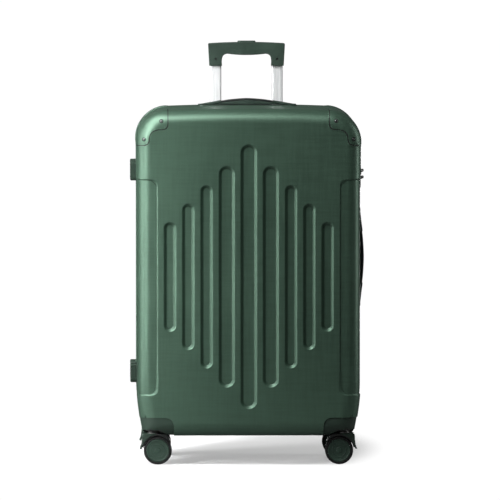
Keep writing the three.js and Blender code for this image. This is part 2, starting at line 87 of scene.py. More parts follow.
def smooth(t):
    t = np.clip(t, 0.0, 1.0)
    return t * t * (3 - 2 * t)


def bend(p, c, q, steps, skip=0):
    t = np.linspace(0, 1, steps + 1)[skip:, None]
    p, c, q = (np.array(v, float) for v in (p, c, q))
    return ((1 - t) ** 2 * p + 2 * t * (1 - t) * c + t ** 2 * q).tolist()


def arc(cx, cy, r, a0, a1, steps, skip=0):
    a = np.linspace(a0, a1, steps + 1)[skip:]
    return [(cx + r * math.cos(t), cy + r * math.sin(t)) for t in a]


def rounded_rect(x0, x1, y0, y1, r, steps=6):
    out = []
    for cx, cy, a in ((x1 - r, y0 + r, -PI / 2), (x1 - r, y1 - r, 0), (x0 + r, y1 - r, PI / 2),
                      (x0 + r, y0 + r, PI)):
        out += arc(cx, cy, r, a, a + PI / 2, steps)
    return out


def centred_rect(x, y, half_w, half_h, r, steps=6):
    return rounded_rect(x - half_w, x + half_w, y - half_h, y + half_h, r, steps)


def make(name, verts, faces, material, sharp=32, weighted=True):
    """A mesh from millimetre vertices, with smooth shading broken at sharp edges."""
    mesh = bpy.data.meshes.new(name)
    mesh.from_pydata((np.asarray(verts, float) * MM).tolist(), [], faces)
    mesh.update()
    obj = bpy.data.objects.new(name, mesh)
    bpy.context.scene.collection.objects.link(obj)
    for m in material if isinstance(material, (list, tuple)) else [material]:
        mesh.materials.append(m)
    tidy(obj, sharp, weighted)
    return obj


def tidy(obj, sharp=32, weighted=True):
    """Merged points, outward normals, smooth shading with creases, and flat faces that stay flat."""
    bm = bmesh.new()
    bm.from_mesh(obj.data)
    bmesh.ops.remove_doubles(bm, verts=bm.verts, dist=1e-6)
    bmesh.ops.dissolve_degenerate(bm, dist=1e-6, edges=bm.edges)
    bmesh.ops.recalc_face_normals(bm, faces=bm.faces)
    for f in bm.faces:
        f.smooth = True
    bm.to_mesh(obj.data)
    bm.free()
    obj.data.set_sharp_from_angle(angle=math.radians(sharp))
    if weighted:
        weigh_normals(obj)


def weigh_normals(obj):
    """Large faces keep their own direction, so that they look flat beside a rounded edge."""
    mod = obj.modifiers.new("normals", "WEIGHTED_NORMAL")
    mod.keep_sharp = True
    mod.weight = 80
    apply(obj)


def apply(obj):
    graph = bpy.context.evaluated_depsgraph_get()
    mesh = bpy.data.meshes.new_from_object(obj.evaluated_get(graph))
    obj.modifiers.clear()
    old = obj.data
    obj.data = mesh
    mesh.name = obj.name
    bpy.data.meshes.remove(old)


def boolean(obj, tool, operation="DIFFERENCE", keep_tool=False):
    mod = obj.modifiers.new("cut", "BOOLEAN")
    mod.operation = operation
    mod.solver = "MANIFOLD"
    mod.object = tool
    apply(obj)
    if not keep_tool:
        drop(tool)
    return obj


def drop(obj):
    bpy.data.objects.remove(obj, do_unlink=True)


def bevel(obj, width, segments=2, angle=40, sharp=32):
    mod = obj.modifiers.new("bevel", "BEVEL")
    mod.width = width * MM
    mod.segments = segments
    mod.limit_method = "ANGLE"
    mod.angle_limit = math.radians(angle)
    mod.use_clamp_overlap = True
    apply(obj)
    tidy(obj, sharp)
    return obj


def copied(obj, name, matrix=None):
    """A copy with the matrix worked into its mesh; a mirror keeps its normals outwards."""
    new = obj.copy()
    new.data = obj.data.copy()
    new.name = new.data.name = name
    bpy.context.scene.collection.objects.link(new)
    if matrix is not None:
        new.data.transform(matrix)
        if matrix.determinant() < 0:
            new.data.flip_normals()
    return new


def mirror(sx, sy):
    return Matrix.Diagonal((sx, sy, 1, 1))


def joined(name, objs):
    """One piece out of several, keeping each one's materials."""
    mesh = bpy.data.meshes.new(name)
    bm = bmesh.new()
    slots = []
    for o in objs:
        o.data.transform(o.matrix_world)
        start = len(bm.faces)
        bm.from_mesh(o.data)
        bm.faces.ensure_lookup_table()
        table = []
        for m in o.data.materials:
            if m not in slots:
                slots.append(m)
            table.append(slots.index(m))
        for f in bm.faces[start:]:
            f.material_index = table[min(f.material_index, len(table) - 1)] if table else 0
    bm.to_mesh(mesh)
    bm.free()
    new = bpy.data.objects.new(name, mesh)
    bpy.context.scene.collection.objects.link(new)
    for m in slots:
        mesh.materials.append(m)
    for o in objs:
        drop(o)
    mesh.set_sharp_from_angle(angle=math.radians(32))
    weigh_normals(new)
    return new


def settle(piece, body, slot, *nodes):
    """The body that a piece rides on, its material slot (not used), and the CAD nodes that it is drawn in
    place of.
    """
    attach(piece, body)
    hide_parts(*nodes)


def rings(loops, close=True, cap0=True, cap1=True, base=0):
    """Faces joining loops of equal length, with a cap at each end."""
    n = len(loops[0])
    faces = []
    last = n if close else n - 1
    for k in range(len(loops) - 1):
        for i in range(last):
            a, b = base + k * n + i, base + k * n + (i + 1) % n
            faces.append((a, b, b + n, a + n))
    if cap0:
        faces.append(tuple(base + i for i in reversed(range(n))))
    if cap1:
        faces.append(tuple(base + (len(loops) - 1) * n + i for i in range(n)))
    return faces


def normals2(pts):
    """Outward normals of a closed anticlockwise outline."""
    p = np.asarray(pts, float)
    d = np.roll(p, -1, 0) - p
    d /= np.maximum(np.linalg.norm(d, axis=1, keepdims=True), 1e-9)
    e = np.column_stack([d[:, 1], -d[:, 0]])
    n = e + np.roll(e, 1, 0)
    n /= np.maximum(np.linalg.norm(n, axis=1, keepdims=True), 1e-9)
    return n / np.clip(np.sum(n * e, 1, keepdims=True), 0.5, 1)


def clean(pts):
    out = []
    for p in pts:
        if not out or math.dist(p, out[-1]) > 1e-3:
            out.append(tuple(p))
    if math.dist(out[0], out[-1]) < 1e-3:
        out.pop()
    area = sum(a[0] * b[1] - b[0] * a[1] for a, b in zip(out, out[1:] + out[:1]))
    return out if area > 0 else out[::-1]


def place(p, h, axis):
    """A point of an outline at height h along the axis that the outline is square to."""
    return {"z": (p[0], p[1], h), "y": (p[0], h, p[1]), "x": (h, p[0], p[1])}[axis]


def prism(name, outline, h0, h1, material, axis="z", r=1.0, r0=None, steps=3, sharp=40):
    """An outline pushed along an axis, with rounded rims of radius r0 at the start and r at the end."""
    pts = np.asarray(clean(outline), float)
    nrm = normals2(pts)
    r0 = r if r0 is None else r0
    loops = []
    for rr, h, sign in ((r0, h0, 1), (r, h1, -1)):
        part = []
        for i in range(steps + 1 if rr > 0 else 1):
            a = (i / steps) * PI / 2 if rr > 0 else PI / 2
            inset = rr * (1 - math.sin(a))
            part.append([place(p, h + sign * rr * (1 - math.cos(a)), axis) for p in (pts - nrm * inset)])
        loops += part if sign > 0 else part[::-1]
    verts = [v for loop in loops for v in loop]
    return make(name, verts, rings(loops), material, sharp)


def lathe(name, profile, material, centre=(0, 0, 0), axis="y", steps=64, sharp=32, closed=False):
    """A profile of (radius, height) turned round an axis through the centre."""
    cx, cy, cz = centre
    loops = []
    for r, h in profile:
        loop = []
        for i in range(steps):
            a = 2 * PI * i / steps
            u, v = r * math.cos(a), r * math.sin(a)
            loop.append({"y": (cx + u, cy + h, cz + v), "z": (cx + u, cy + v, cz + h),
                         "x": (cx + h, cy + u, cz + v)}[axis])
        loops.append(loop)
    if closed:
        loops.append(loops[0])
    verts = [v for loop in loops for v in loop]
    return make(name, verts, rings(loops, cap0=not closed, cap1=not closed), material, sharp)


def bent_tube(name, path, radius, material, sides=10, flat=1.0):
    """A round or flattened bar along a path of points."""
    path = [Vector(p) for p in path]
    loops = []
    up = Vector((0, 1, 0))
    for i, p in enumerate(path):
        t = (path[min(i + 1, len(path) - 1)] - path[max(i - 1, 0)]).normalized()
        side = t.cross(up)
        if side.length < 1e-3:
            side = t.cross(Vector((0, 0, 1)))
        side.normalize()
        top = side.cross(t).normalized()
        loops.append([tuple(p + side * radius * math.cos(a) + top * radius * flat * math.sin(a))
                      for a in np.linspace(0, 2 * PI, sides, endpoint=False)])
    verts = [v for loop in loops for v in loop]
    return make(name, verts, rings(loops), material)


# ---------- materials ----------


class Look:
    """A Principled material with a handful of shorthand node calls."""

    def __init__(self, name, rough=0.5, metal=0.0, coat=0.0, coat_rough=0.1, sheen=0.0, spec=0.5):
        self.m = bpy.data.materials.new(name)
        self.m.use_nodes = True
        self.tree = self.m.node_tree
        self.b = next(n for n in self.tree.nodes if n.type == "BSDF_PRINCIPLED")
        for key, value in (("Roughness", rough), ("Metallic", metal), ("Coat Weight", coat),
                           ("Coat Roughness", coat_rough), ("Sheen Weight", sheen),
                           ("Specular IOR Level", spec)):
            self.b.inputs[key].default_value = value
        self.at = self.node("TexCoord").outputs["Object"]

    def node(self, kind, **inputs):
        n = self.tree.nodes.new("ShaderNode" + kind)
        for key, value in inputs.items():
            self.put(n.inputs[key.replace("_", " ")], value)
        return n

    def put(self, socket, value):
        if isinstance(value, bpy.types.NodeSocket):
            self.tree.links.new(value, socket)
        else:
            socket.default_value = value

    def scaled(self, scale):
        return self.node("Mapping", Vector=self.at, Scale=scale).outputs["Vector"]

    def noise(self, scale, stretch=None, detail=3.0, rough=0.55):
        at = self.scaled(stretch) if stretch else self.at
        return self.node("TexNoise", Vector=at, Scale=scale, Detail=detail, Roughness=rough).outputs[0]

    def wave(self, scale, axis="X", distort=0.0, stretch=None):
        n = self.node("TexWave", Vector=self.scaled(stretch) if stretch else self.at, Scale=scale,
                      Distortion=distort)
        n.bands_direction = axis
        return n.outputs["Fac"]

    def ramp(self, value, low, high, to_low=0.0, to_high=1.0):
        return self.node("MapRange", Value=value, From_Min=low, From_Max=high, To_Min=to_low,
                         To_Max=to_high).outputs[0]

    def maths(self, kind, a, b=0.0):
        n = self.tree.nodes.new("ShaderNodeMath")
        n.operation = kind
        self.put(n.inputs[0], a)
        self.put(n.inputs[1], b)
        return n.outputs[0]

    def mix(self, factor, a, b):
        n = self.tree.nodes.new("ShaderNodeMix")
        n.data_type = "RGBA"
        self.put(n.inputs[0], factor)
        self.put(n.inputs[6], a)
        self.put(n.inputs[7], b)
        return n.outputs[2]

    def edges(self, low=0.52, high=0.6):
        """High where the surface turns outwards, as along worn edges."""
        return self.ramp(self.node("NewGeometry").outputs["Pointiness"], low, high)

    def colour(self, value):
        self.put(self.b.inputs["Base Color"], value)

    def roughness(self, value):
        self.put(self.b.inputs["Roughness"], value)

    def bump(self, height, strength, distance, under=None):
        n = self.node("Bump", Height=height, Strength=strength, Distance=distance)
        if under is not None:
            self.put(n.inputs["Normal"], under)
        return n.outputs["Normal"]

    def normal(self, value):
        self.put(self.b.inputs["Normal"], value)


def srgb(r, g, b):
    def lin(c):
        c /= 255
        return c / 12.92 if c <= 0.04045 else ((c + 0.055) / 1.055) ** 2.4
    return (lin(r), lin(g), lin(b), 1)


def shell_look():
    s = Look("brushed_green_shell", 0.42, 0.6, coat=0.05, coat_rough=0.3)
    base, deep, worn = srgb(70, 95, 80), srgb(64, 88, 74), srgb(98, 124, 110)
    cloud = s.noise(5, detail=2)
    up = s.noise(260, (1, 1, 0.06), 2)
    across = s.noise(260, (0.06, 1, 1), 2)
    weave = s.maths("ADD", up, across)
    tone = s.mix(s.ramp(cloud, 0.35, 0.65), deep, base)
    tone = s.mix(s.ramp(weave, 0.8, 1.2, 0, 0.35), tone, srgb(78, 107, 90))
    # Painted shade: where the surface turns inwards, as at the foot of each groove wall, the green darkens
    # towards a deep green.
    tone = s.mix(s.ramp(s.node("NewGeometry").outputs["Pointiness"], 0.495, 0.46, 0, 0.8),
                 tone, srgb(30, 46, 37))
    s.colour(s.mix(s.maths("MULTIPLY", s.edges(0.53, 0.62), 0.3), tone, worn))
    s.roughness(s.ramp(weave, 0.7, 1.3, 0.38, 0.48))
    s.normal(s.bump(weave, 0.16, 0.0003))
    return s.m


def moulded_look(name="moulded_green", tone=(37, 53, 44), rough=0.55, spec=0.3):
    s = Look(name, rough, coat=0.03, coat_rough=0.4, spec=spec)
    r, g, b = tone
    cloud = s.noise(30, detail=2)
    stipple = s.noise(1400, detail=1)
    base = s.mix(s.ramp(cloud, 0.35, 0.65), srgb(r * 0.95, g * 0.95, b * 0.95),
                 srgb(r * 1.04, g * 1.04, b * 1.04))
    s.colour(s.mix(s.maths("MULTIPLY", s.edges(0.53, 0.64), 0.4), base, srgb(r * 1.35, g * 1.35, b * 1.35)))
    s.roughness(s.ramp(cloud, 0.3, 0.7, rough - 0.05, rough + 0.06))
    s.normal(s.bump(stipple, 0.25, 0.0002))
    return s.m


def black_look(name="black_plastic_and_painted_shade", tone=(14, 17, 16), rough=0.5):
    s = Look(name, rough)
    r, g, b = tone
    dust = s.noise(60, detail=4)
    s.colour(s.mix(s.ramp(dust, 0.45, 0.75, 0, 0.5), srgb(r, g, b), srgb(r * 2, g * 2, b * 2)))
    s.roughness(s.ramp(dust, 0.3, 0.7, rough - 0.08, rough + 0.1))
    s.normal(s.bump(s.noise(1500, detail=1), 0.2, 0.0002))
    return s.m


def rubber_look():
    s = Look("tyre_rubber", 0.7, spec=0.35)
    dust = s.noise(90, detail=4)
    scuff = s.noise(300, (1, 0.15, 1), 3)
    s.colour(s.mix(s.ramp(scuff, 0.5, 0.8, 0, 0.5), srgb(9, 12, 11), srgb(34, 36, 35)))
    s.roughness(s.ramp(dust, 0.3, 0.7, 0.6, 0.82))
    s.normal(s.bump(scuff, 0.25, 0.0003))
    return s.m


def metal_look(name, tone, rough, brush=(1, 1, 0.02), strength=0.15, metal=1.0):
    s = Look(name, rough, metal)
    r, g, b = tone
    grain = s.noise(700, brush, 2)
    s.colour(s.mix(s.ramp(grain, 0.3, 0.7), srgb(r * 0.95, g * 0.95, b * 0.95), srgb(r, g, b)))
    s.roughness(s.ramp(grain, 0.3, 0.7, rough - 0.05, rough + 0.08))
    s.normal(s.bump(grain, strength, 0.0001))
    return s.m


def weave_look(name, tone, fine=900, rough=0.9, sheen=0.3):
    s = Look(name, rough, sheen=sheen, spec=0.2)
    r, g, b = tone
    warp = s.wave(fine, "DIAGONAL")
    weft = s.wave(fine * 0.5, "Z")
    cloth = s.maths("MULTIPLY", warp, weft)
    cloud = s.noise(40, detail=3)
    s.colour(s.mix(s.ramp(s.maths("ADD", cloth, cloud), 0.4, 1.4), srgb(r * 0.8, g * 0.8, b * 0.8),
                   srgb(r * 1.2, g * 1.2, b * 1.2)))
    s.roughness(s.ramp(cloud, 0.3, 0.7, rough - 0.08, rough + 0.05))
    s.normal(s.bump(cloth, 0.4, 0.0004))
    return s.m


def floor_look():
    """Pale and matte; far out it fades into the white of the room behind."""
    s = Look("floor", 0.7, spec=0.2)
    seen = s.node("LightPath").outputs["Is Camera Ray"]
    pale = s.mix(s.noise(2.0), (0.86, 0.86, 0.86, 1), (0.87, 0.87, 0.87, 1))
    s.colour(s.mix(seen, (0.2, 0.2, 0.2, 1), pale))
    near = s.node("Mapping", Vector=s.at, Location=(0, -0.48, 0), Scale=(3.3, 1.48, 1))
    far = s.node("VectorMath")
    far.operation = "LENGTH"
    s.put(far.inputs[0], near.outputs["Vector"])
    fade = s.node("MapRange", Value=far.outputs["Value"], From_Min=0.72, From_Max=1.05, To_Min=0.25)
    fade.interpolation_type = "SMOOTHSTEP"
    glow = s.node("Emission", Color=(1, 1, 1, 1), Strength=1.02)
    both = s.node("MixShader", Fac=s.maths("MULTIPLY", fade.outputs[0], seen))
    s.put(both.inputs[1], s.b.outputs[0])
    s.put(both.inputs[2], glow.outputs[0])
    out = next(n for n in s.tree.nodes if n.type == "OUTPUT_MATERIAL")
    s.put(out.inputs["Surface"], both.outputs[0])
    return s.m


SHELL = shell_look()
MOULDED = moulded_look()
HUB = moulded_look("wheel_hub_green", (42, 61, 51), 0.5)
GRIP = moulded_look("grip_green", (36, 51, 43), 0.5)
STRAP = moulded_look("handle_green", (36, 50, 43), 0.5)
# Dark strap material; on the side handle it also fills the space under the arch as painted shade.
DARK_STRAP_AND_SHADE = moulded_look("handle_dark_strap_and_painted_shade", (17, 22, 20), 0.5)
FOOT = moulded_look("foot_green", (26, 38, 31), 0.75, 0.15)
# Black plastic; also used as painted shade inside the wheel wells, the caster hoods and the key slot.
BLACK = black_look()
RUBBER = rubber_look()
TUBE = metal_look("satin_tube", (214, 215, 216), 0.3, metal=0.25)
BRIGHT = metal_look("bright_metal", (150, 150, 148), 0.32, (1, 1, 1))
SCREW = metal_look("dark_screw", (90, 92, 92), 0.35, (1, 1, 1))
TAPE = weave_look("zip_tape_weave", (18, 21, 20))
LINING = weave_look("lining_weave", (58, 64, 61), 700)
WEBBING = weave_look("strap_webbing", (24, 28, 26), 500)
# Painted shade: a near-black band for the shaded gap round each corner guard and the dimple round each rivet.
GAP_SHADE = black_look("painted_gap_shade", (9, 14, 11), 0.7)

# ---------- the body of the case ----------

ROW_STEPS = [-5, -2.4, -1.4, -0.7, 0, 0.7, 1.4, 2.6, 4.6, 7, 10, 13, 16.5, 21]
ROWS = ([PANEL_LOW + d for d in ROW_STEPS] + list(range(180, 580, 15))
        + [PANEL_HIGH - d for d in ROW_STEPS[::-1]] + [630, 645, 660, 672, 684, 696])


def side_x(z, inset):
    half, bottom = WIDTH / 2 - inset, BOTTOM + inset
    z0, z1, z2 = bottom + 12 + 0.35 * inset, bottom + 72, bottom + 115
    if z >= z2:
        return half
    a, b, c = z0 - 2 * z1 + z2, 2 * (z1 - z0), z0 - z
    t = -c / b if abs(a) < 1e-6 else (-b + math.sqrt(max(b * b - 4 * a * c, 0))) / (2 * a)
    return half - 12 * (1 - t) ** 2


def outline(inset):
    """The front-view outline moved inwards, anticlockwise from the bottom middle; the count stays fixed."""
    half, top, bottom, r = WIDTH / 2 - inset, TOP - inset, BOTTOM + inset, CORNER_R - inset
    low_r, low = 12 + 0.35 * inset, WIDTH / 2 - inset - 12
    right = [(lerp(0, low - low_r, i / 14), bottom) for i in range(14)]
    right += bend((low - low_r, bottom), (low - 1, bottom), (low, bottom + low_r), 6)
    right += [(side_x(z, inset), z) for z in np.linspace(bottom + low_r, ROWS[0], 9)[1:-1]]
    right += [(side_x(z, inset), z) for z in ROWS]
    right += arc(half - r, ROWS[-1], r, 0, PI / 2, 14, 1)
    right += [(lerp(half - r, 0, i / 12), top) for i in range(1, 13)]
    pts = right + [(-x, z) for x, z in right[-2:0:-1]]
    pts = np.array(pts)
    lift = np.clip((pts[:, 1] - 600) / 140, 0, 1)
    pts[:, 1] -= CAMBER * (pts[:, 0] / 174) ** 2 * smooth(lift)
    return pts


def panel_depth(x, y, z):
    """How far a point of the skin sinks in, in the long panels down both sides."""
    qx = PANEL_X - np.abs(x) + PANEL_R
    qz = np.abs(z - (PANEL_LOW + PANEL_HIGH) / 2) - (PANEL_HIGH - PANEL_LOW) / 2 + PANEL_R
    d = np.hypot(np.maximum(qx, 0), np.maximum(qz, 0)) + np.minimum(np.maximum(qx, qz), 0) - PANEL_R
    d = np.maximum(d, PANEL_Y - abs(y))
    return PANEL_DEPTH * smooth((1.2 - d) / 2.4)


def skin_columns(fine=True, face=FACE_Y):
    """(inset, y, tilt) across the skin, from the rim over the rounded edge to the flat face."""
    wall = [4.6, 6, 10, 15, 19, 20.6, 21.3, 22, 22.7, 23.4, 25, 30, 45, 65, 90,
            105] if fine else [6, 30, 56, 80, 100]
    cols = [(0.5, RIM_Y, 0)] if fine else [(0, RIM_Y, 0)]
    bend_y = face - EDGE_R
    cols += [(0, y, 0) for y in wall if y < bend_y - 1] + [(0, bend_y, 0)]
    steps = 12 if fine else 10
    for i in range(1, steps + 1):
        a = (PI / 2) * i / steps
        cols.append((EDGE_R * (1 - math.cos(a)), bend_y + EDGE_R * math.sin(a), a))
    strip = [33, 36, 39, 41.5, 42.8, 43.6, 44.3, 45, 45.7, 46.4, 47.2, 48.4, 50] if fine else [40]
    return cols + [(d, face, PI / 2) for d in strip]


def skin_loop(inset, y, tilt, sunk, shrink=0.0):
    pts = outline(inset)
    nrm = normals2(pts)
    depth = panel_depth(pts[:, 0], y, pts[:, 1]) if sunk else 0
    depth = depth + shrink
    out = np.empty((len(pts), 3))
    out[:, 0] = pts[:, 0] - depth * nrm[:, 0] * math.cos(tilt)
    out[:, 1] = -y + depth * math.sin(tilt)
    out[:, 2] = pts[:, 1] - depth * nrm[:, 1] * math.cos(tilt)
    return out


def stadium(x, width, length, grow=0.0, n=20):
    r = width / 2 + grow
    h = length / 2 - width / 2
    pts = arc(x, GROOVE_Z + h, r, 0, PI, n) + arc(x, GROOVE_Z - h, r, PI, 2 * PI, n)
    side = [(x - r, lerp(GROOVE_Z + h, GROOVE_Z - h, i / 8)) for i in range(1, 8)]
    other = [(x + r, lerp(GROOVE_Z - h, GROOVE_Z + h, i / 8)) for i in range(1, 8)]
    return pts[:n + 1] + side + pts[n + 1:] + other


def front_shell_mesh(name):
    """The front half: skin with sunk panels and grooves, rim, and plain inner wall."""
    loops = [skin_loop(*c, True) for c in skin_columns()]
    count = len(loops[0])
    verts = [tuple(v) for loop in loops for v in loop]
    faces = rings(loops, cap0=False, cap1=False)
    start = len(verts) - count
    polys = [[Vector(verts[start + i]) for i in range(count)]]
    index = list(range(start, start + count))
    grooves = []
    for gx, w, length in GROOVES:
        grooves += [(gx, w, length)] if gx == 0 else [(gx, w, length), (-gx, w, length)]
    profile = [(GROOVE_LIP - GROOVE_WALL * t, GROOVE_DEPTH * float(smooth(t)))
               for t in np.linspace(0, 1, 13)]
    profile += [(GROOVE_LIP - GROOVE_WALL - d, GROOVE_DEPTH) for d in (1.2, 2.4)]
    for gx, w, length in grooves:
        base = len(verts)
        ring = [[(px, -FACE_Y + d, pz) for px, pz in stadium(gx, w, length, g)] for g, d in profile]
        verts += [v for r in ring for v in r]
        faces += rings(ring, cap0=False, cap1=True, base=base)
        polys.append([Vector(v) for v in ring[0]])
        index += range(base, base + len(ring[0]))
    flat = [[Vector((v.x, v.z, 0)) for v in poly] for poly in polys]
    faces += [tuple(index[i] for i in tri) for tri in tessellate_polygon(flat)]
    inner = [skin_loop(WALL, RIM_Y, 0, False), skin_loop(WALL, FACE_Y - EDGE_R, 0, False)]
    for i in range(1, 6):
        a = (PI / 2) * i / 5
        r = EDGE_R - WALL
        depth = (INNER_FACE_Y - FACE_Y + EDGE_R) * math.sin(a)
        inner.append(skin_loop(WALL + r * (1 - math.cos(a)), FACE_Y - EDGE_R + depth, 0, False))
    base = len(verts)
    verts += [tuple(v) for loop in inner for v in loop]
    faces += rings(inner, cap0=False, cap1=True, base=base)
    faces += [(i, (i + 1) % count, base + (i + 1) % count, base + i) for i in range(count)]
    return make(name, verts, faces, SHELL, 40, weighted=False)


def front_body(name, inset=0.0, material=None, face=FACE_Y):
    """The filled front half, for cutting corner pieces out of its skin."""
    loops = [skin_loop(d, y, a, False, inset) for d, y, a in skin_columns(False, face)]
    verts = [tuple(v) for loop in loops for v in loop]
    return make(name, verts, rings(loops), material or SHELL, weighted=False)


def housing_region(name, grow=0.0, y0=None, material=None):
    """The lower left front corner as a block."""
    x1 = -HOUSING_X + grow
    top = HOUSING_TOP + grow
    pts = [(-300, 20), (x1, 20)] + bend((x1, top - HOUSING_R), (x1, top), (x1 - HOUSING_R, top),
                                        10) + [(-300, top)]
    return prism(name, pts, -300, -(HOUSING_Y - grow if y0 is None else y0), material or MOULDED, "y", r=0)


def guard_region(name, grow=0.0, material=None):
    """The upper left front corner as a block with its S-shaped inner side."""
    g = GUARD
    above, outside = TOP + 38, -300

    def p(x, z):
        return (grow - x, z)

    pts = [p(g["inner"], above), p(g["inner"], g["high"] + g["r"] - grow)]
    pts += bend(pts[-1], p(g["inner"], g["high"] - grow), p(g["inner"] + g["r"], g["high"] - grow), 10, 1)
    pts += bend(pts[-1], p(g["step"], g["high"] - grow), p(g["step"], g["mid"]), 14, 1)
    pts += bend(pts[-1], p(g["step"], g["low"] - grow), p(g["step"] + g["low_r"], g["low"] - grow), 10, 1)
    pts += [(outside, g["low"] - grow), (outside, above)]
    return prism(name, pts, -300, -(GUARD_BACK_Y - grow), material or SHELL, "y", r=0)


def edge_point(x, z, lift=0.0):
    """The point and outward direction of the rounded left front corner that a front view shows at x and z."""
    centre = Vector((-(WIDTH / 2 - CORNER_R), TOP - CORNER_R))
    out = Vector((x, z)) - centre
    inset = CORNER_R - out.length
    tilt = math.acos(1 - inset / EDGE_R)
    out.normalize()
    normal = Vector((out.x * math.cos(tilt), -math.sin(tilt), out.y * math.cos(tilt)))
    at = Vector((x, -(FACE_Y - EDGE_R + EDGE_R * math.sin(tilt)), z - CAMBER * (x / 174) ** 2))
    return at + normal * lift, normal


def quadrants(source, pattern, replaces=None):
    """The left front piece and its three mirror images, each on its half's body."""
    for half, sy in (("front", 1), ("rear", -1)):
        for side, sx in (("left", 1), ("right", -1)):
            name = pattern.format(half=half, side=side)
            piece = copied(source, name + "_skin", mirror(sx, sy))
            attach(piece, "lid" if half == "front" else "case")
            if replaces:
                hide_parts(replaces.format(half=half, side=side))
    drop(source)


def build_shells():
    shell = front_shell_mesh("front_shell_skin")
    region = housing_region("region", 0.35)
    for sx in (1, -1):
        boolean(shell, copied(region, "side_region", mirror(sx, 1)))
    drop(region)
    rear = copied(shell, "rear_shell_skin", mirror(1, -1))
    boolean(rear, prism("cup_hole", rounded_rect(-96.3, 96.3, 85.7, 124.3, 12), 700, 800,
                        MOULDED, "z", r=0))
    boolean(rear, prism("lock_hole",
                        rounded_rect(LOCK_Y0 - 0.3, LOCK_Y1 + 0.3, LOCK_Z - 31.3, LOCK_Z + 31.3, 6),
                        220, 260, MOULDED, "x", r=0))
    for piece, half, body in ((shell, "front", "lid"), (rear, "rear", "case")):
        tidy(piece, 40)
        settle(piece, body, "shell", half + "_shell")


def rivet(x, z):
    """A domed rivet in a near-black ring, which is painted shade for the dimple in the guard that it sits in.
    """
    ring = lathe("ring", [(1.8, -1.0), (4.4, -1.0), (4.4, 0.1), (3.8, 0.3), (3.0, -0.2), (1.8, -0.4)],
                 GAP_SHADE, axis="z", steps=32, closed=True)
    dome = lathe("dome", [(0.01, -0.8), (2.7, -0.8), (2.7, 0.1), (2.2, 0.6), (1.3, 1.0), (0.01, 1.1)],
                 SCREW, axis="z", steps=32)
    piece = joined("rivet", [ring, dome])
    at, normal = edge_point(x, z, GUARD_PROUD)
    turn = normal.to_track_quat("Z", "Y").to_matrix().to_4x4()
    piece.data.transform(Matrix.Translation(at * MM) @ turn)
    return piece


def build_guards():
    guard = front_body("guard", -GUARD_PROUD)
    boolean(guard, guard_region("region", 0.0), "INTERSECT")
    boolean(guard, front_body("under", 0.5))
    bevel(guard, 0.8, 3, 50)
    guard = joined("guard", [guard] + [rivet(x, z) for x, z in RIVETS])
    quadrants(guard, "{half}_guard_{side}", replaces="{half}_guard_{side}")
    # The seam is a near-black band round the guard, painted shade for the gap between guard and shell.
    seam = front_body("seam", -0.15, GAP_SHADE)
    boolean(seam, guard_region("region", 1.9, GAP_SHADE), "INTERSECT")
    boolean(seam, front_body("under", 0.4, GAP_SHADE))
    tidy(seam, 40)
    lip = front_body("lip", -0.55)
    boolean(lip, guard_region("region", 3.6), "INTERSECT")
    boolean(lip, guard_region("region", 1.9))
    boolean(lip, front_body("under", 0.4))
    bevel(lip, 0.35, 2, 50)
    quadrants(joined("seam", [seam, lip]), "{half}_guard_{side}_seam")


def build_housings():
    block = front_body("housing", 1.7, MOULDED)
    boolean(block, housing_region("region"), "INTERSECT")
    boolean(block, lathe("well", [(WELL_R, -10), (WELL_R, WELL_ROOF - 4), (WELL_R - 1.2, WELL_ROOF - 1.2),
                                  (WELL_R - 4, WELL_ROOF)], MOULDED, (-CASTER_X, -CASTER_Y, 0), "z", 72))
    bevel(block, 0.8, 2, 50)
    # Faces inside the wheel well turn black: painted shade for the hollow of the well.
    block.data.materials.append(BLACK)
    for f in block.data.polygons:
        c = f.center / MM
        near = math.hypot(c.x + CASTER_X, c.y + CASTER_Y)
        if near < WELL_R - 0.02 and c.z < WELL_ROOF + 0.5:
            f.material_index = 1
    quadrants(block, "{half}_wheel_housing_{side}", replaces="{half}_wheel_housing_{side}")


build_shells()
build_guards()
build_housings()

# ---------- casters ----------


def tyre_profile(s):
    """Radius and height of the tyre's section; s is the side that the wheel faces."""
    near, far = 4.6, 15.9
    pts = [(HUB_R + 0.1, near), (WHEEL_R - 3, near), (WHEEL_R - 1.2, near + 0.7), (WHEEL_R - 0.3, near + 2),
           (WHEEL_R, near + 3.6), (WHEEL_R - 0.05, 9.6), (WHEEL_R - 0.45, 9.8), (WHEEL_R - 0.45, 10.3),
           (WHEEL_R - 0.05, 10.5), (WHEEL_R, far - 3.2), (WHEEL_R - 0.3, far - 1.6),
           (WHEEL_R - 1.1, far - 0.5),
           (WHEEL_R - 2.4, far), (HUB_R + 1.2, far), (HUB_R + 0.5, far - 0.4), (HUB_R + 0.1, far - 0.9)]
    return [(r, s * h) for r, h in pts]


def hub_profile(s):
    far = 16.2
    pts = [(3.2, 4.6), (HUB_R - 0.1, 4.6), (HUB_R - 0.1, far - 0.7), (HUB_R - 0.7, far - 0.1),
           (HUB_R - 1.3, far),
           (HUB_R - 2.6, far), (HUB_R - 3.1, far - 0.5), (HUB_R - 4, far - 0.8), (15.2, far - 1.0),
           (14.6, far - 0.6),
           (13.8, far - 0.6), (13.2, far - 1.0), (6.4, far - 1.1), (5.8, far - 0.5), (5.2, far - 0.3),
           (0.01, far - 0.2)]
    return [(0.01, s * 5.2), (3.2, s * 5.2)] + [(r, s * h) for r, h in pts[1:]]


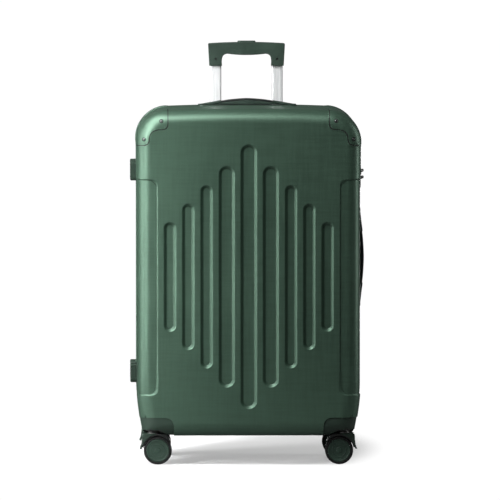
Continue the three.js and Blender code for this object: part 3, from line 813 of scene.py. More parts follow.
def caster(half, side):
    """One caster: hood, core, stem, and two wheels that turn on it. The hood's point is on the outer side."""
    name = f"{half}_{side}"
    sy, sx = (-1 if half == "front" else 1), (-1 if side == "left" else 1)
    turn = Matrix.Translation((sx * (CASTER_X - TRAIL) * MM, sy * CASTER_Y * MM, WHEEL_R * MM))
    if sx > 0:
        turn = turn @ Matrix.Rotation(PI, 4, "Z")
    swivel = "caster_" + name
    hood = [(-38.6, 3.6)] + arc(0, 0, 34.3, PI * 0.966, PI * 0.56, 16) + [
        (-3, 36.2), (-6, 37), (-29, 37), (-32.6, 35), (-33.6, 31), (-33.4, 19), (-34.6, 13.5)]
    hood = prism(name + "_hood", hood, -18.4, 18.4, MOULDED, "y", r=1.0)
    # The core and web are black: painted shade for the shaded inside of the hood, beside and above the
    # wheels.
    core = arc(0, 0, 31.4, PI * 0.94, PI * 0.2, 20) + [
        (27.4, 19.6), (19.4, 33), (13, 36.4), (-30, 36.4), (-33, 30), (-35.6, 9)]
    core = prism(name + "_core", core, -17.0, 17.0, BLACK, "y", r=1.2)
    web = arc(0, 0, 8, -PI * 0.75, -PI * 0.1, 10) + [(29.2, 1), (28.6, 9), (25, 22), (18.8, 34),
                                                     (-31, 34), (-31, 20)]
    web = prism(name + "_web", web, -3.4, 3.4, BLACK, "y", r=0.8)
    axle = lathe(name + "_axle",
                 [(0.01, -13.4), (2.6, -13.4), (2.9, -13), (2.9, 13), (2.6, 13.4), (0.01, 13.4)],
                 SCREW, steps=24)
    stem = lathe(name + "_stem",
                 [(0.01, 34), (13, 34), (13.6, 34.6), (13.6, 38.4), (13, 39), (11.5, 39), (11.5, 42),
                                  (10.9, 42.6), (5, 42.6), (5, 53.5), (0.01, 54)], BRIGHT,
                 (-TRAIL, 0, 0), "z", 40)
    race = lathe(name + "_race", [(6, 42), (16, 42), (16.6, 42.6), (16.6, 45), (16, 45.6), (6, 45.6)],
                 BLACK, (-TRAIL, 0, 0), "z", 40)
    body = joined(name + "_swivel", [hood, core, web, axle, stem, race])
    body.data.transform(turn)
    settle(body, swivel, "moulded_green", name + "_fork")
    for index, s in ((1, -sy), (2, sy)):
        flip = s * (1 if sx < 0 else -1)
        rim = tyre_profile(flip)
        tyre = lathe(f"{name}_tyre_{index}_rubber", rim, RUBBER, steps=72, closed=True)
        hub = lathe(f"{name}_hub_{index}_disc", hub_profile(flip), HUB, steps=72)
        for piece, what, slot in ((tyre, "tyre", "tyre"), (hub, "hub", "wheel_hub")):
            piece.data.transform(turn)
            settle(piece, f"wheel_{name}_{index}", slot, f"{name}_{what}_{index}")


# ---------- trolley ----------


def tube(name, w, d, z0, z1, x, wall=1.3, material=None):
    """A rounded rectangular tube with softened ends."""
    r = d * 0.36
    outer = np.array(clean(rounded_rect(-w / 2, w / 2, -d / 2, d / 2, r, 8)))
    nrm = normals2(outer)
    loops = []
    for inset, z in ((wall, z0), (0.3, z0), (0, z0 + 0.3), (0, z1 - 0.3), (0.3, z1), (wall, z1)):
        loops.append([(x + p[0], TROLLEY_Y + p[1], z) for p in outer - nrm * inset])
    loops.append(loops[0])
    verts = [v for loop in loops for v in loop]
    return make(name, verts, rings(loops, cap0=False, cap1=False), material or TUBE, 40)


def build_trolley():
    for side, sx in (("left", -1), ("right", 1)):
        x = sx * TUBE_X
        inner = tube("inner", 24, 12, 245, GRIP_TOP - 30, x)
        # a plastic foot on each sliding tube, and a pin through it where the two lock holes are
        foot = prism("foot", rounded_rect(x - 12.4, x + 12.4, 98.7, 111.3, 4.2), 241, 262,
                     BLACK, "z", r=0.8)
        pin = lathe("pin", [(0.01, -6.4), (2.4, -6.4), (2.8, -6.1), (2.8, 6.1), (2.4, 6.4),
                            (0.01, 6.4)], BRIGHT,
                    (x, TROLLEY_Y, 252), "y", 24)
        inner = joined(f"trolley_inner_tube_{side}_metal", [inner, foot, pin])
        middle = tube("middle", 27.6, 15.6, 110, 715, x)
        bush = []
        for z0, z1, wall in ((709, 715.6, 2.0), (108, 124, 1.5)):
            bush.append(tube("bush", 28.2, 16.2, z0, z1, x, wall, BLACK))
        middle = joined(f"trolley_middle_tube_{side}_metal", [middle] + bush)
        for piece, body, node in ((inner, "trolley_inner", "inner"), (middle, "trolley_middle", "middle")):
            settle(piece, body, "tube", f"trolley_{node}_tube_{side}")
    frame_bar = prism("bar", rounded_rect(-90.5, 90.5, 93, 117, 6), 82, 92, BLACK, "z", r=1)
    tubes = [tube("outer", 31, 19, 88, 707.7, sx * TUBE_X, 1.3) for sx in (-1, 1)]
    clamps = [prism("clamp", rounded_rect(sx * TUBE_X - 20, sx * TUBE_X + 20, 92, 118, 5), 690,
                    706, BLACK, "z", r=1)
              for sx in (-1, 1)]
    outer = joined("trolley_outer_frame_metal", [frame_bar] + tubes + clamps)
    settle(outer, "case", "tube", "trolley_outer_frame")


SCREW_DROP, SCREW_R = 34, 2.7


def grip_outline():
    """The handle's front view about its top middle: sharp outer corners, flared legs and a bellied bar."""
    half, leg_in, leg_out, height, bar, crown = 83, 53.0, 80.4, 48.5, 23, 2.6
    pts = [(-leg_out, -height), (-leg_in, -height), (-leg_in - 0.6, -height + 8)]
    pts += bend((-leg_in - 0.2, -bar - 12), (-leg_in + 0.6, -bar), (-leg_in + 12, -bar + 0.4), 8)
    pts += bend((-leg_in + 12, -bar + 0.4), (0, -bar - 2 * crown), (leg_in - 12, -bar + 0.4), 20, 1)
    pts += bend((leg_in - 12, -bar + 0.4), (leg_in - 0.6, -bar), (leg_in + 0.2, -bar - 12), 8, 1)
    pts += [(leg_in + 0.6, -height + 8), (leg_in, -height), (leg_out, -height)]
    pts += bend((half, -3), (half, -0.2), (half - 3, 0), 5)
    pts += bend((half - 3, 0), (0, 2 * crown), (-half + 3, 0), 24, 1)
    pts += bend((-half + 3, 0), (-half, -0.2), (-half, -3), 5, 1)
    return [(x, z + GRIP_TOP) for x, z in pts]


def build_grip():
    grip = prism("trolley_grip_body", grip_outline(), TROLLEY_Y - 12, TROLLEY_Y + 12, GRIP,
                 "y", r=1.6, steps=4)
    pocket = prism("pocket", rounded_rect(-19.9, 19.9, 98.1, 111.9, 6.6), GRIP_TOP - 12,
                   GRIP_TOP + 17, GRIP, "z", r=0)
    boolean(grip, pocket)
    plugs = []
    for sx in (-1, 1):
        for sy in (-1, 1):
            face = (sx * TUBE_X, TROLLEY_Y + sy * 12, GRIP_TOP - SCREW_DROP)
            boolean(grip, lathe("hole", [(0.01, -sy * 2.8), (SCREW_R, -sy * 2.8),
                                         (SCREW_R, sy * 3), (0.01, sy * 3)],
                                GRIP, face, "y", 24))
            head = [(0.01, -2.7), (SCREW_R - 0.1, -2.7), (SCREW_R - 0.3, -2.0), (0.9, -1.9), (0.01, -2.5)]
            plugs.append(lathe("screw", [(r, sy * h) for r, h in head], BLACK, face, "y", 24))
    tidy(grip, 40)
    grip = joined("trolley_grip_body", [grip] + plugs)
    settle(grip, "trolley_inner", "moulded_green", "trolley_grip")
    top = GRIP_TOP + 5.6
    button = prism("grip_button_key", rounded_rect(-19.4, 19.4, 98.5, 111.5, 6.2),
                   GRIP_TOP - 7.5, top, GRIP, "z", r=1.6, r0=0.4)
    settle(button, "grip_button", "moulded_green", "grip_button")


def cambered(obj):
    """Follows the slight crown of the case's top."""
    for v in obj.data.vertices:
        lift = float(smooth((v.co.z / MM - 600) / 140))
        v.co.z -= CAMBER * MM * (v.co.x / MM / 174) ** 2 * lift
    obj.data.update()
    return obj


def build_cup():
    mid = 105
    ring = rounded_rect(-99, 99, 83, 127, 14, 10)
    flange = prism("flange", ring, 762.1, 763.9, MOULDED, "z", r=0.9, r0=0)
    body = prism("cup_wall", rounded_rect(-96, 96, 86, 124, 12, 10), 708, 762.3, MOULDED, "z", r=0)
    cut = prism("recess", rounded_rect(-93, 93, 89, 121, 10, 10), 738, 780, MOULDED, "z", r=0, r0=2)
    boolean(flange, prism("open", rounded_rect(-93, 93, 89, 121, 10, 10), 740, 780, MOULDED, "z", r=0))
    boolean(body, cut)
    boolean(body, prism("under", rounded_rect(-43, 43, 80, 130, 1), 700, 734, MOULDED, "z", r=0))
    for sx in (-1, 1):
        x = sx * TUBE_X
        boolean(body, prism("pocket", centred_rect(x, mid, 15.8, 12.6, 2), 716, 745, MOULDED,
                            "z", r=0))
        boolean(body, prism("hole", centred_rect(x, mid, 14.2, 8.2, 5.3), 700, 750, MOULDED, "z", r=0))
    bevel(flange, 0.4, 2, 50)
    tidy(body, 40)
    cup = cambered(joined("trolley_cup_tray", [body, flange]))
    settle(cup, "case", "moulded_green", "trolley_cup")


# ---------- carry handles ----------


def station(u, half, low, high, r, n=5):
    """A rounded section across a handle: (along, across, up)."""
    r = min(r, (high - low) / 2 - 0.05)
    return [(u, v, h) for v, h in rounded_rect(-half, half, low, high, r, n)]


def on_case(place_name, pts):
    out = []
    for u, v, h in pts:
        if place_name == "top":
            out.append((u, HANDLE_Y + v, TOP + h - CAMBER * (u / 174) ** 2))
        else:
            out.append((WIDTH / 2 + h, HANDLE_Y + v, SIDE_HANDLE_Z - u))
    return out


def handle(where, peak):
    def rise(u):
        return peak - (peak - 3.6) * (abs(u) / 104) ** 1.5

    def bar(name, us, section, material):
        loops = [on_case(where, station(u, *section(u))) for u in us]
        return make(name, [v for loop in loops for v in loop], rings(loops), material, 40)

    plate = []
    for d, h in ((0, 0.1), (0, 1.7), (0.3, 2.2), (0.9, 2.4)):
        pts = np.array(clean(centred_rect(0, 0, 108, 17, 14, 10)))
        plate.append(on_case(where, [(p[0], p[1], h) for p in pts - normals2(pts) * d]))
    base = make(where + "_handle_plate", [v for loop in plate for v in loop], rings(plate), MOULDED, 40)
    settle(base, "case", "moulded_green", where + "_handle_base")
    strap = bar(where + "_handle_grip", np.linspace(-62, 62, 33),
                lambda u: (13.4 - 0.8 * abs(u) / 62, rise(u) - 3.4, rise(u) - 0.35, 1.3), DARK_STRAP_AND_SHADE)
    pad = bar("pad", np.linspace(-50, 50, 29),
              lambda u: (10.4 * (1 - (abs(u) / 50) ** 8) + 0.6, rise(u) - 1.2,
                         rise(u) + 0.15, 0.6), DARK_STRAP_AND_SHADE)
    # The cushion under the arch is green on the top handle; on the side handle it is dark, as painted shade
    # under the arch.
    cushion = bar("cushion", np.linspace(-79, 79, 41),
                  lambda u: (12.6 - 0.8 * abs(u) / 57, 2.7, rise(u) - 3.1, 1.6),
                  STRAP if where == "top" else DARK_STRAP_AND_SHADE)
    mid = joined(where + "_handle_grip", [strap, pad, cushion])
    settle(mid, where + "_handle", "moulded_green", where + "_handle_strap")
    for end, s in (("a", -1), ("b", 1)):
        def sleeve(u):
            t = float(smooth((82 - abs(u)) / 26))
            k = float(smooth((106 - abs(u)) / 5))
            return 10 + 4.2 * k, lerp(2.45, rise(u) - 3.0, t), max(rise(u), 4.4) + 0.6 * t, 1.4
        us = s * np.linspace(105.5, 56, 26)
        piece = bar(f"{where}_handle_sleeve_{end}", us, sleeve, STRAP)
        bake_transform(piece)


# ---------- feet, lock and zip ----------


def build_feet():
    for half, sy in (("front", -1), ("rear", 1)):
        for level, z, base in (("lower", FOOT_Z[0], 238.3), ("upper", FOOT_Z[1], 239.8)):
            y = sy * FOOT_Y
            pad = prism("pad", centred_rect(y, z, 12, 21, 7, 8), -252.4, -base, FOOT, "x", r=0, r0=2.6)
            ribs = [prism("rib", centred_rect(y, z + k, 8, 1.1, 1.0), -252.5, -251.6, FOOT, "x",
                          r=0, r0=0.5) for k in (-14.4, -9.6, 9.6, 14.4)]
            screw = lathe("screw", [(0.01, -252.0), (1.2, -252.0), (1.6, -252.35), (3.4, -252.45),
                                    (3.4, -251.9), (0.01, -251.9)],
                          SCREW, (0, y, z), "x", 24)
            name = f"{half}_foot_{level}"
            foot = joined(name + "_pad", [pad, screw] + ribs)
            settle(foot, "lid" if half == "front" else "case", "moulded_green", name)


def lock_dial(index):
    """A knurled wheel with blank plates round it."""
    z = LOCK_Z + DIAL_STEP * (1 - index)
    profile = [(-2.5, 4.4), (-2.3, 5.0), (-1.9, 5.2), (1.9, 5.2), (2.3, 5.0), (2.5, 4.4)]
    steps = DIAL_TEETH * 4
    loops = []
    for h, r in profile:
        loop = []
        for k in range(steps):
            a = 2 * PI * k / steps
            depth = 0.28 if k % 4 in (2, 3) and abs(h) < 2.4 else 0
            loop.append((DIAL_X + (r - depth) * math.cos(a), DIAL_Y + (r - depth) * math.sin(a), z + h))
        loops.append(loop)
    body = f"lock_dial_{index + 1}"
    dial = make(body + "_wheel", [v for loop in loops for v in loop], rings(loops), SCREW, 30)
    marks = []
    for k in range(DIAL_PLATES):
        turn = Matrix.Rotation(2 * PI * k / DIAL_PLATES, 4, "Z")
        plate = prism("plate", centred_rect(0, 0, 1.2, 2.0, 0.3), 5.1, 5.32, BRIGHT, "x", r=0)
        plate.data.transform(Matrix.Translation((DIAL_X * MM, DIAL_Y * MM, z * MM)) @ turn)
        marks.append(plate)
    dial = joined(body + "_wheel", [dial] + marks)
    settle(dial, body, "bright_metal", body)


def lock_area(y0, y1, half, r, steps=6):
    """A rounded rectangle on the lock's face, from y0 to y1 and centred on the lock's height."""
    return rounded_rect(y0, y1, LOCK_Z - half, LOCK_Z + half, r, steps)


def build_lock():
    body = prism("lock_case", lock_area(LOCK_Y0, LOCK_Y1, LOCK_HALF, 6, 8), 235, LOCK_FACE, BLACK, "x",
                 r=1.4, r0=0)
    for i in (-1, 0, 1):
        z = LOCK_Z + DIAL_STEP * i
        window = rounded_rect(18.4, 29.6, z - 2.9, z + 2.9, 0.8)
        boolean(body, prism("slot", window, 234, PAST_LOCK, BLACK, "x", r=0))
    boolean(body, prism("key", lock_area(32.6, 38.4, 12.4, 2.8), 238, PAST_LOCK, BLACK, "x", r=0))
    centre = (0, DIAL_Y, KEYHOLE_Z)
    boolean(body, lathe("keyhole", [(0.01, 240), (3, 240), (3, PAST_LOCK), (0.01, PAST_LOCK)], BLACK,
                        centre, "x", 24))
    bevel(body, 0.25, 2, 50)
    cylinder = lathe("cylinder", [(0.01, 238), (2.9, 238), (2.9, 243.4), (2.5, 243.8), (0.01, 243.8)],
                     BRIGHT, centre, "x", 24)
    # The key slot is a thin black plate on the cylinder's face: painted shade for the slot.
    slit = prism("slit", rounded_rect(23.6, 24.4, LOCK_Z - 24, LOCK_Z - 20, 0.3), 243.7, 243.9, BLACK,
                 "x", r=0)
    path = [(243.9, y, z) for y, z in lock_area(14.6, 39.4, 29.4, 5)] + [(243.9, 39.4, LOCK_Z - 24.4)]
    lip = bent_tube("lip", path, 0.35, BLACK, 6)
    flange = prism("flange", lock_area(LOCK_Y0 - 3, LOCK_Y1 + 3, LOCK_HALF + 3, 8, 8), 237.6, 241, BLACK,
                   "x", r=0.7, r0=0)
    boolean(flange, prism("hole", lock_area(LOCK_Y0 + 0.5, LOCK_Y1 - 0.5, LOCK_HALF - 0.5, 6), 230,
                          PAST_LOCK, BLACK, "x", r=0))
    lock = joined("lock_case", [body, flange, cylinder, slit, lip])
    settle(lock, "case", "lock_case", "lock_body")
    for index in range(3):
        lock_dial(index)
    key = prism("lock_release_key", lock_area(33, 38, 12, 2.4), 240, 245.5, BRIGHT, "x", r=0.7, r0=0)
    settle(key, "lock_release", "bright_metal", "lock_release")


PULL_BEND, ZIP_STEP = 4.8, 7.2


def zipper_tape(half, sy, body):
    """One half's tape, which runs all round its rim, with its row of teeth."""
    loops = []
    for inset, y in ((1.6, 0.5), (1.6, 5.2), (3.1, 5.2), (3.1, 0.5)):
        loops.append([(x, sy * y, z) for x, z in outline(inset)])
    loops.append(loops[0])
    tape = make("tape", [v for loop in loops for v in loop],
                rings(loops, cap0=False, cap1=False), TAPE, 40)
    pts = outline(1.4)
    nrm = normals2(pts)
    step = np.linalg.norm(np.roll(pts, -1, 0) - pts, axis=1)
    total = np.concatenate([[0], np.cumsum(step)])
    count = int(total[-1] / 3.0)
    verts, faces = [], []
    closed = np.vstack([pts, pts[:1]])
    nclosed = np.vstack([nrm, nrm[:1]])
    for k in range(count):
        s = (k + (0.5 if sy > 0 else 0)) * total[-1] / count
        i = min(int(np.searchsorted(total, s, side="right")) - 1, len(pts) - 1)
        t = (s - total[i]) / max(step[i], 1e-9)
        p, n = lerp(closed[i], closed[i + 1], t), lerp(nclosed[i], nclosed[i + 1], t)
        n = n / np.linalg.norm(n)
        d = np.array([-n[1], n[0]])
        b = len(verts)
        for along, inner, outer in ((-0.85, -0.35, 2.6), (0.85, -0.35, 2.6)):
            for y, up in ((inner, 0.2), (outer, 0.0), (outer, 0.9), (inner + 0.3, 1.15)):
                q = p + d * along + n * up
                verts.append((q[0], sy * y, q[1]))
        faces += [(b, b + 1, b + 2, b + 3), (b + 7, b + 6, b + 5, b + 4)]
        faces += [(b + i, b + (i + 1) % 4, b + 4 + (i + 1) % 4, b + 4 + i) for i in range(4)]
    teeth = make("teeth", verts, faces, BLACK, 30, weighted=False)
    chain = joined(half + "_zipper_tape_chain", [tape, teeth])
    settle(chain, body, "zip_tape", half + "_zipper_tape")


def zip_slider(level, z):
    plate = prism("plate", centred_rect(0, z, 3.5, 5.4, 2.6, 6), 237.6, 241.2, BRIGHT, "x", r=0.8)
    ears = [prism("ear", [(239.5, -1.7), (244.4, -1.7)] + arc(245.2, 0, 1.5, -PI / 2, PI / 2, 6)
                  + [(244.4, 1.7), (239.5, 1.7)],
                  z + a, z + b, BRIGHT, "z", r=0.25) for a, b in ((2.2, 3.5), (-3.5, -2.2))]
    pin = lathe("pin", [(0.01, -3.2), (0.8, -3.2), (0.8, 3.2), (0.01, 3.2)], BRIGHT,
                (245.2, 0, z), "z", 16)
    slider = joined(f"zip_slider_{level}_body", [plate, pin] + ears)
    settle(slider, f"zip_slider_{level}", "bright_metal", f"zip_slider_{level}")


def zip_pull(level, z):
    """A slotted tab that bends outwards to its end, and hangs on the slider's pin."""
    shape = ([(2.2, -1.7), (4.6, -1.7)] + bend((4.6, -1.7), (6, -3.3), (8.4, -3.3), 5, 1)
             + arc(13.8, 0, 3.3, -PI / 2, PI / 2, 12)
             + bend((8.4, 3.3), (6, 3.3), (4.6, 1.7), 5) + [(2.2, 1.7)])
    tab = prism("tab", [(y, z + v) for y, v in shape], 244.3, 246.1, BRIGHT, "x", r=0.45)
    boolean(tab, prism("slot", rounded_rect(8.6, 14.4, z - 1.4, z + 1.4, 1.3, 5), 240, 250,
                       BRIGHT, "x", r=0))
    bevel(tab, 0.2, 2, 50)
    for v in tab.data.vertices:
        v.co.x += PULL_BEND * MM * max(0, (v.co.y / MM - 2.4) / 14.6) ** 2
    knuckle = lathe("knuckle", [(1.1, -1.8), (1.9, -1.8), (1.9, 1.8), (1.1, 1.8)], BRIGHT,
                    (245.2, 0, z), "z", 24, closed=True)
    neck = prism("neck", [(244.4, 1.4), (246.0, 1.4), (246.0, 2.8), (244.4, 2.8)], z - 1.7,
                 z + 1.7, BRIGHT, "z", r=0)
    pull = joined(f"zip_pull_{level}_tab", [tab, knuckle, neck])
    settle(pull, f"zip_pull_{level}", "bright_metal", f"zip_pull_{level}")


def build_zip():
    zipper_tape("front", -1, "lid")
    zipper_tape("rear", 1, "case")
    for level, z in (("upper", LOCK_Z + ZIP_STEP), ("lower", LOCK_Z - ZIP_STEP)):
        zip_slider(level, z)
        zip_pull(level, z)


# ---------- soft parts inside ----------

LINING_INSET, FRONT_LINING_Y, REAR_LINING_Y = 7.4, 139.8, 82
DIVIDER_Y, DIVIDER_INSET = 11.2, 9.2
NET = {"x": 168, "low": 300, "high": 660, "r": 34, "pitch": 6, "thread": 0.35}


def thicken(obj, thickness):
    mod = obj.modifiers.new("thick", "SOLIDIFY")
    mod.thickness = thickness * MM
    mod.offset = 0
    apply(obj)


def binding(name, y, inset, r, material):
    """A round cord of folded cloth all round, that finishes a cloth edge."""
    loops = []
    for a in np.linspace(0, 2 * PI, 10, endpoint=False):
        loops.append([(x, y + r * math.cos(a), z) for x, z in outline(inset - r * math.sin(a))])
    loops.append(loops[0])
    return make(name, [v for loop in loops for v in loop],
                rings(loops, cap0=False, cap1=False), material, 60)


def build_lining(half, face):
    """A cloth tray that follows the inside of one half, loose enough to wrinkle."""
    tray = front_body("tray", LINING_INSET, LINING, face)
    region = housing_region("region", 4.2)
    for sx in (1, -1):
        boolean(tray, copied(region, "side_region", mirror(sx, 1)))
    drop(region)
    mod = tray.modifiers.new("even", "REMESH")
    mod.mode = "VOXEL"
    mod.voxel_size = 5.5 * MM
    apply(tray)
    mod = tray.modifiers.new("soft", "SMOOTH")
    mod.iterations = 3
    apply(tray)
    bm = bmesh.new()
    bm.from_mesh(tray.data)
    mouth = [f for f in bm.faces if f.normal.y > 0.4 and f.calc_center_median().y > -9 * MM]
    bmesh.ops.delete(bm, geom=mouth, context="FACES")
    bm.normal_update()
    for v in bm.verts:
        hang = noise.noise(Vector((v.co.x * 34, v.co.y * 30, v.co.z * 7)))
        pull = noise.noise(Vector((v.co.x * 11, v.co.y * 60, v.co.z * 16 + 5)))
        v.co += v.normal * (1.5 * hang + 0.9 * pull) * MM
    bm.to_mesh(tray.data)
    bm.free()
    thicken(tray, 0.7)
    tidy(tray, 60, weighted=False)
    hem = binding("hem", -5.4, LINING_INSET, 1.5, TAPE)
    piece = joined(f"{half}_lining_cloth", [tray, hem])
    if half == "rear":
        piece.data.transform(mirror(1, -1))
        piece.data.flip_normals()
    settle(piece, "lid" if half == "front" else "case", "lining", half + "_lining")


def cloth_slab(name, x0, x1, z0, z1, y, thickness, step, wave, material):
    """A flat cloth of even cells across X and Z, gently uneven."""
    xs, zs = np.arange(x0, x1 + step, step), np.arange(z0, z1 + step, step)
    verts, faces = [], []
    for t in (-thickness / 2, thickness / 2):
        for z in zs:
            for x in xs:
                lift = wave * noise.noise(Vector((x * 0.012, z * 0.008, 3)))
                lift += 0.35 * wave * noise.noise(Vector((x * 0.05, z * 0.018, 9)))
                verts.append((x, y + t + lift, z))
    n, count = len(xs), len(xs) * len(zs)
    for k in range(len(zs) - 1):
        for i in range(n - 1):
            a = k * n + i
            faces += [(a, a + 1, a + 1 + n, a + n),
                      (count + a + n, count + a + n + 1, count + a + 1, count + a)]
    rim = [i for i in range(n)] + [k * n + n - 1 for k in range(1, len(zs))]
    rim += [count - 1 - i for i in range(1, n)] + [k * n for k in range(len(zs) - 2, 0, -1)]
    faces += [(a, b, b + count, a + count) for a, b in zip(rim, rim[1:] + rim[:1])]
    return make(name, verts, faces, material, 60, weighted=False)


def net_window():
    """The window of the divider: real threads that cross, one layer over the other."""
    y, w, pitch = -DIVIDER_Y, NET["thread"], NET["pitch"]
    bars = []
    for x in np.arange(-NET["x"] - 2, NET["x"] + 3, pitch):
        bars.append((x - w, x + w, NET["low"] - 2, NET["high"] + 2, y - w, y))
    for z in np.arange(NET["low"] - 2, NET["high"] + 3, pitch):
        bars.append((-NET["x"] - 2, NET["x"] + 2, z - w, z + w, y, y + w))
    verts, faces = [], []
    for x0, x1, z0, z1, y0, y1 in bars:
        b = len(verts)
        verts += [(x, v, z) for v in (y0, y1) for x, z in ((x0, z0), (x1, z0), (x1, z1), (x0, z1))]
        faces += [(b, b + 3, b + 2, b + 1), (b + 4, b + 5, b + 6, b + 7)]
        faces += [(b + i, b + (i + 1) % 4, b + 4 + (i + 1) % 4, b + 4 + i) for i in range(4)]
    return make("net", verts, faces, WEBBING, 30, weighted=False)


def window_outline(grow):
    return rounded_rect(-NET["x"] - grow, NET["x"] + grow, NET["low"] - grow, NET["high"] + grow,
                        NET["r"] + grow, 10)


def band(name, inner, outer, y, thickness, material):
    """A flat band between two outlines with equal counts of points."""
    loops = [[(x, y + t, z) for x, z in line] for line, t in (
        (inner, -thickness / 2), (outer, -thickness / 2), (outer, thickness / 2), (inner, thickness / 2))]
    loops.append(loops[0])
    return make(name, [v for loop in loops for v in loop],
                rings(loops, cap0=False, cap1=False), material, 40)


def build_divider():
    """The zipped cloth panel that closes the front half, with a net window."""
    y = -DIVIDER_Y
    panel = cloth_slab("panel", -236, 236, 60, 760, y, 0.9, 9, 1.4, LINING)
    boolean(panel, prism("cut", outline(DIVIDER_INSET), -60, 0, LINING, "y", r=0), "INTERSECT")
    boolean(panel, prism("window", window_outline(0), -60, 0, LINING, "y", r=0))
    tidy(panel, 60, weighted=False)
    chain = [(x, z) for x, z in outline(26)]
    parts = [panel, net_window(), binding("edge", y, DIVIDER_INSET + 1.2, 1.7, TAPE),
             band("window_edge", window_outline(-7), window_outline(4), y, 2.6, TAPE),
             band("zip_tape", outline(31), outline(21), y, 2.9, TAPE),
             band("zip_chain", outline(27.2), outline(24.8), y, 4.4, BLACK)]
    x, z = chain[len(chain) // 4]
    parts.append(prism("zip_slider", centred_rect(x, z, 4, 8, 3), y - 3.6, y + 3.6, BRIGHT, "y", r=0.9))
    parts.append(prism("zip_tab", rounded_rect(x - 3, x + 3, z - 34, z - 6, 2.6), y + 3.4, y + 5,
                       BRIGHT, "y", r=0.5))
    piece = joined("divider_panel_cloth", parts)
    settle(piece, "lid", "lining", "divider_panel")


def ribbon(name, path, width, thickness, material, across=None):
    """Flat webbing along a path; across is its width's direction, else it lies in the plane of X and Z."""
    path = [Vector(p) for p in path]
    loops = []
    for i, p in enumerate(path):
        t = (path[min(i + 1, len(path) - 1)] - path[max(i - 1, 0)]).normalized()
        side = Vector(across) if across else t.cross(Vector((0, 1, 0))).normalized()
        up = side.cross(t).normalized()
        w, h = width / 2, thickness / 2
        loops.append([tuple(p + side * a + up * b) for a, b in (
            (-w, -h * 0.4), (-w + 0.6, -h), (w - 0.6, -h), (w, -h * 0.4), (w, h * 0.4),
                                                                (w - 0.6, h), (-w + 0.6, h),
            (-w, h * 0.4))])
    return make(name, [v for loop in loops for v in loop], rings(loops), material, 50)


def build_packing_straps():
    """Two straps that cross over the clothes in the rear half, held by a buckle."""
    parts = []
    for sx in (-1, 1):
        path = []
        for t in np.linspace(0, 1, 41):
            sag = 20 * (1 - (2 * t - 1) ** 2) + 1.2 * math.sin(9 * t + sx)
            path.append((sx * lerp(-226, 226, t), 20 + sag + sx * 1.2, lerp(655, 205, t)))
        parts.append(ribbon("strap", path, 25, 1.4, WEBBING))
        for x, z in ((-sx * 228, 655), (sx * 228, 205)):
            parts.append(prism("patch", rounded_rect(6, 34, z - 20, z + 20, 4), x - 1.5, x + 1.5,
                               TAPE, "x", r=0.6))
    mid = 430
    case = prism("case", centred_rect(0, mid, 27, 21, 8), 33.5, 43.5, BLACK, "y", r=2)
    boolean(case, prism("gap", centred_rect(0, mid, 15, 13, 5), 30, 36.5, BLACK, "y", r=0))
    key = prism("key", centred_rect(0, mid, 12.5, 10.5, 4), 34.4, 39, BLACK, "y", r=1)
    ridges = [prism("ridge", centred_rect(0, mid + k, 8, 0.7, 0.6), 33.9, 35, BLACK, "y", r=0.2)
              for k in (-5, -2.5, 0, 2.5, 5)]
    piece = joined("packing_straps", parts + [case, key] + ridges)
    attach(piece, "case")


def build_gusset():
    """The cloth hinge: a strip inside the left wall, reaching across the rims of both halves."""
    x, half, low, high = -235.9, 9, 125, 640
    verts, faces = [], []
    cols, rows = np.linspace(-half, half, 19), np.linspace(low, high, 60)
    for z in rows:
        for y in cols:
            verts.append((x + 0.25 * noise.noise(Vector((y * 0.2, z * 0.05, 0))), y, z))
    n = len(cols)
    for k in range(len(rows) - 1):
        faces += [(k * n + i, k * n + i + 1, k * n + i + 1 + n, k * n + i + n) for i in range(n - 1)]
    strip = make("hinge_gusset_cloth", verts, faces, TAPE, 60, weighted=False)
    thicken(strip, 0.8)
    tidy(strip, 60, weighted=False)
    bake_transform(strip)


for half_name in ("front", "rear"):
    for side_name in ("left", "right"):
        caster(half_name, side_name)
build_lining("front", FRONT_LINING_Y)
build_lining("rear", REAR_LINING_Y)
build_divider()
build_packing_straps()
build_gusset()
build_trolley()
build_grip()
build_cup()
handle("top", 15.2)
handle("side", 11.8)
build_feet()
build_lock()
build_zip()

# ---------- stage ----------


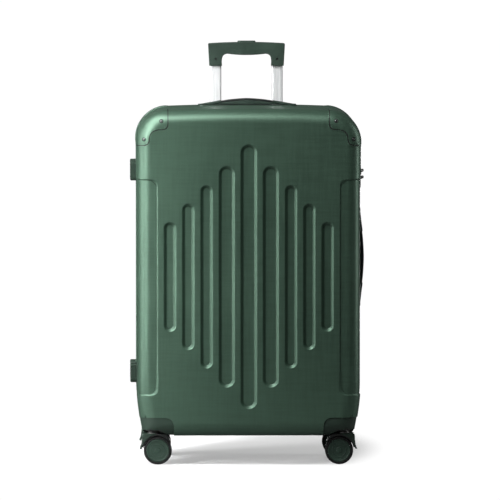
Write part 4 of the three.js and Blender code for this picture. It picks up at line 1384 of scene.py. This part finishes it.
def area_light(name, at, target, size, power, size_y=None, spread=PI):
    light = bpy.data.lights.new(name, "AREA")
    light.energy = power
    light.size = size
    light.spread = spread
    if size_y:
        light.shape = "RECTANGLE"
        light.size_y = size_y
    obj = bpy.data.objects.new(name, light)
    obj.location = at
    obj.rotation_euler = (Vector(target) - Vector(at)).to_track_quat("-Z", "Y").to_euler()
    bpy.context.scene.collection.objects.link(obj)
    return obj


def build_stage():
    floor = make("floor", [(-60000, -60000, 0), (60000, -60000, 0), (60000, 60000, 0), (-60000, 60000, 0)],
                 [(0, 1, 2, 3)], floor_look(), weighted=False)
    world = bpy.data.worlds.new("studio")
    world.use_nodes = True
    tree = world.node_tree
    tree.nodes["Background"].inputs["Color"].default_value = (1, 1, 1, 1)
    seen = tree.nodes.new("ShaderNodeLightPath").outputs["Is Camera Ray"]
    level = tree.nodes.new("ShaderNodeMapRange")
    level.inputs["To Min"].default_value = 0.08
    level.inputs["To Max"].default_value = 1.02
    tree.links.new(seen, level.inputs["Value"])
    tree.links.new(level.outputs["Result"], tree.nodes["Background"].inputs["Strength"])
    bpy.context.scene.world = world
    area_light("top", (-0.65, -0.75, 1.78), (-0.05, -0.1, 0.4), 1.35, 40, size_y=0.7)
    area_light("left", (-1.0, -0.36, 0.7), (0, -0.15, 0.45), 0.3, 9, size_y=1.4)
    area_light("left_front", (-1.0, -1.1, 0.85), (-0.52, -0.145, 0.48), 0.3, 5, size_y=0.9, spread=0.8)
    area_light("right_edge", (1.7, 0.1, 0.8), (0, 0, 0.45), 0.35, 8, size_y=1.4)
    area_light("back", (0.3, 2.6, 0.36), (0, 0.14, 0.4), 1.2, 20, size_y=0.6)


def build_camera():
    camera = bpy.data.cameras.new("camera")
    camera.lens = 503
    camera.sensor_width = 36
    camera.clip_end = 200
    obj = bpy.data.objects.new("camera", camera)
    at, target = Vector((-0.30, -15, 1.381)), Vector((0.0055, 0, 0.4523))
    obj.location = at
    obj.rotation_euler = (target - at).to_track_quat("-Z", "Y").to_euler()
    bpy.context.scene.collection.objects.link(obj)
    bpy.context.scene.camera = obj


build_stage()
build_camera()
bpy.context.scene.view_settings.view_transform = "Standard"
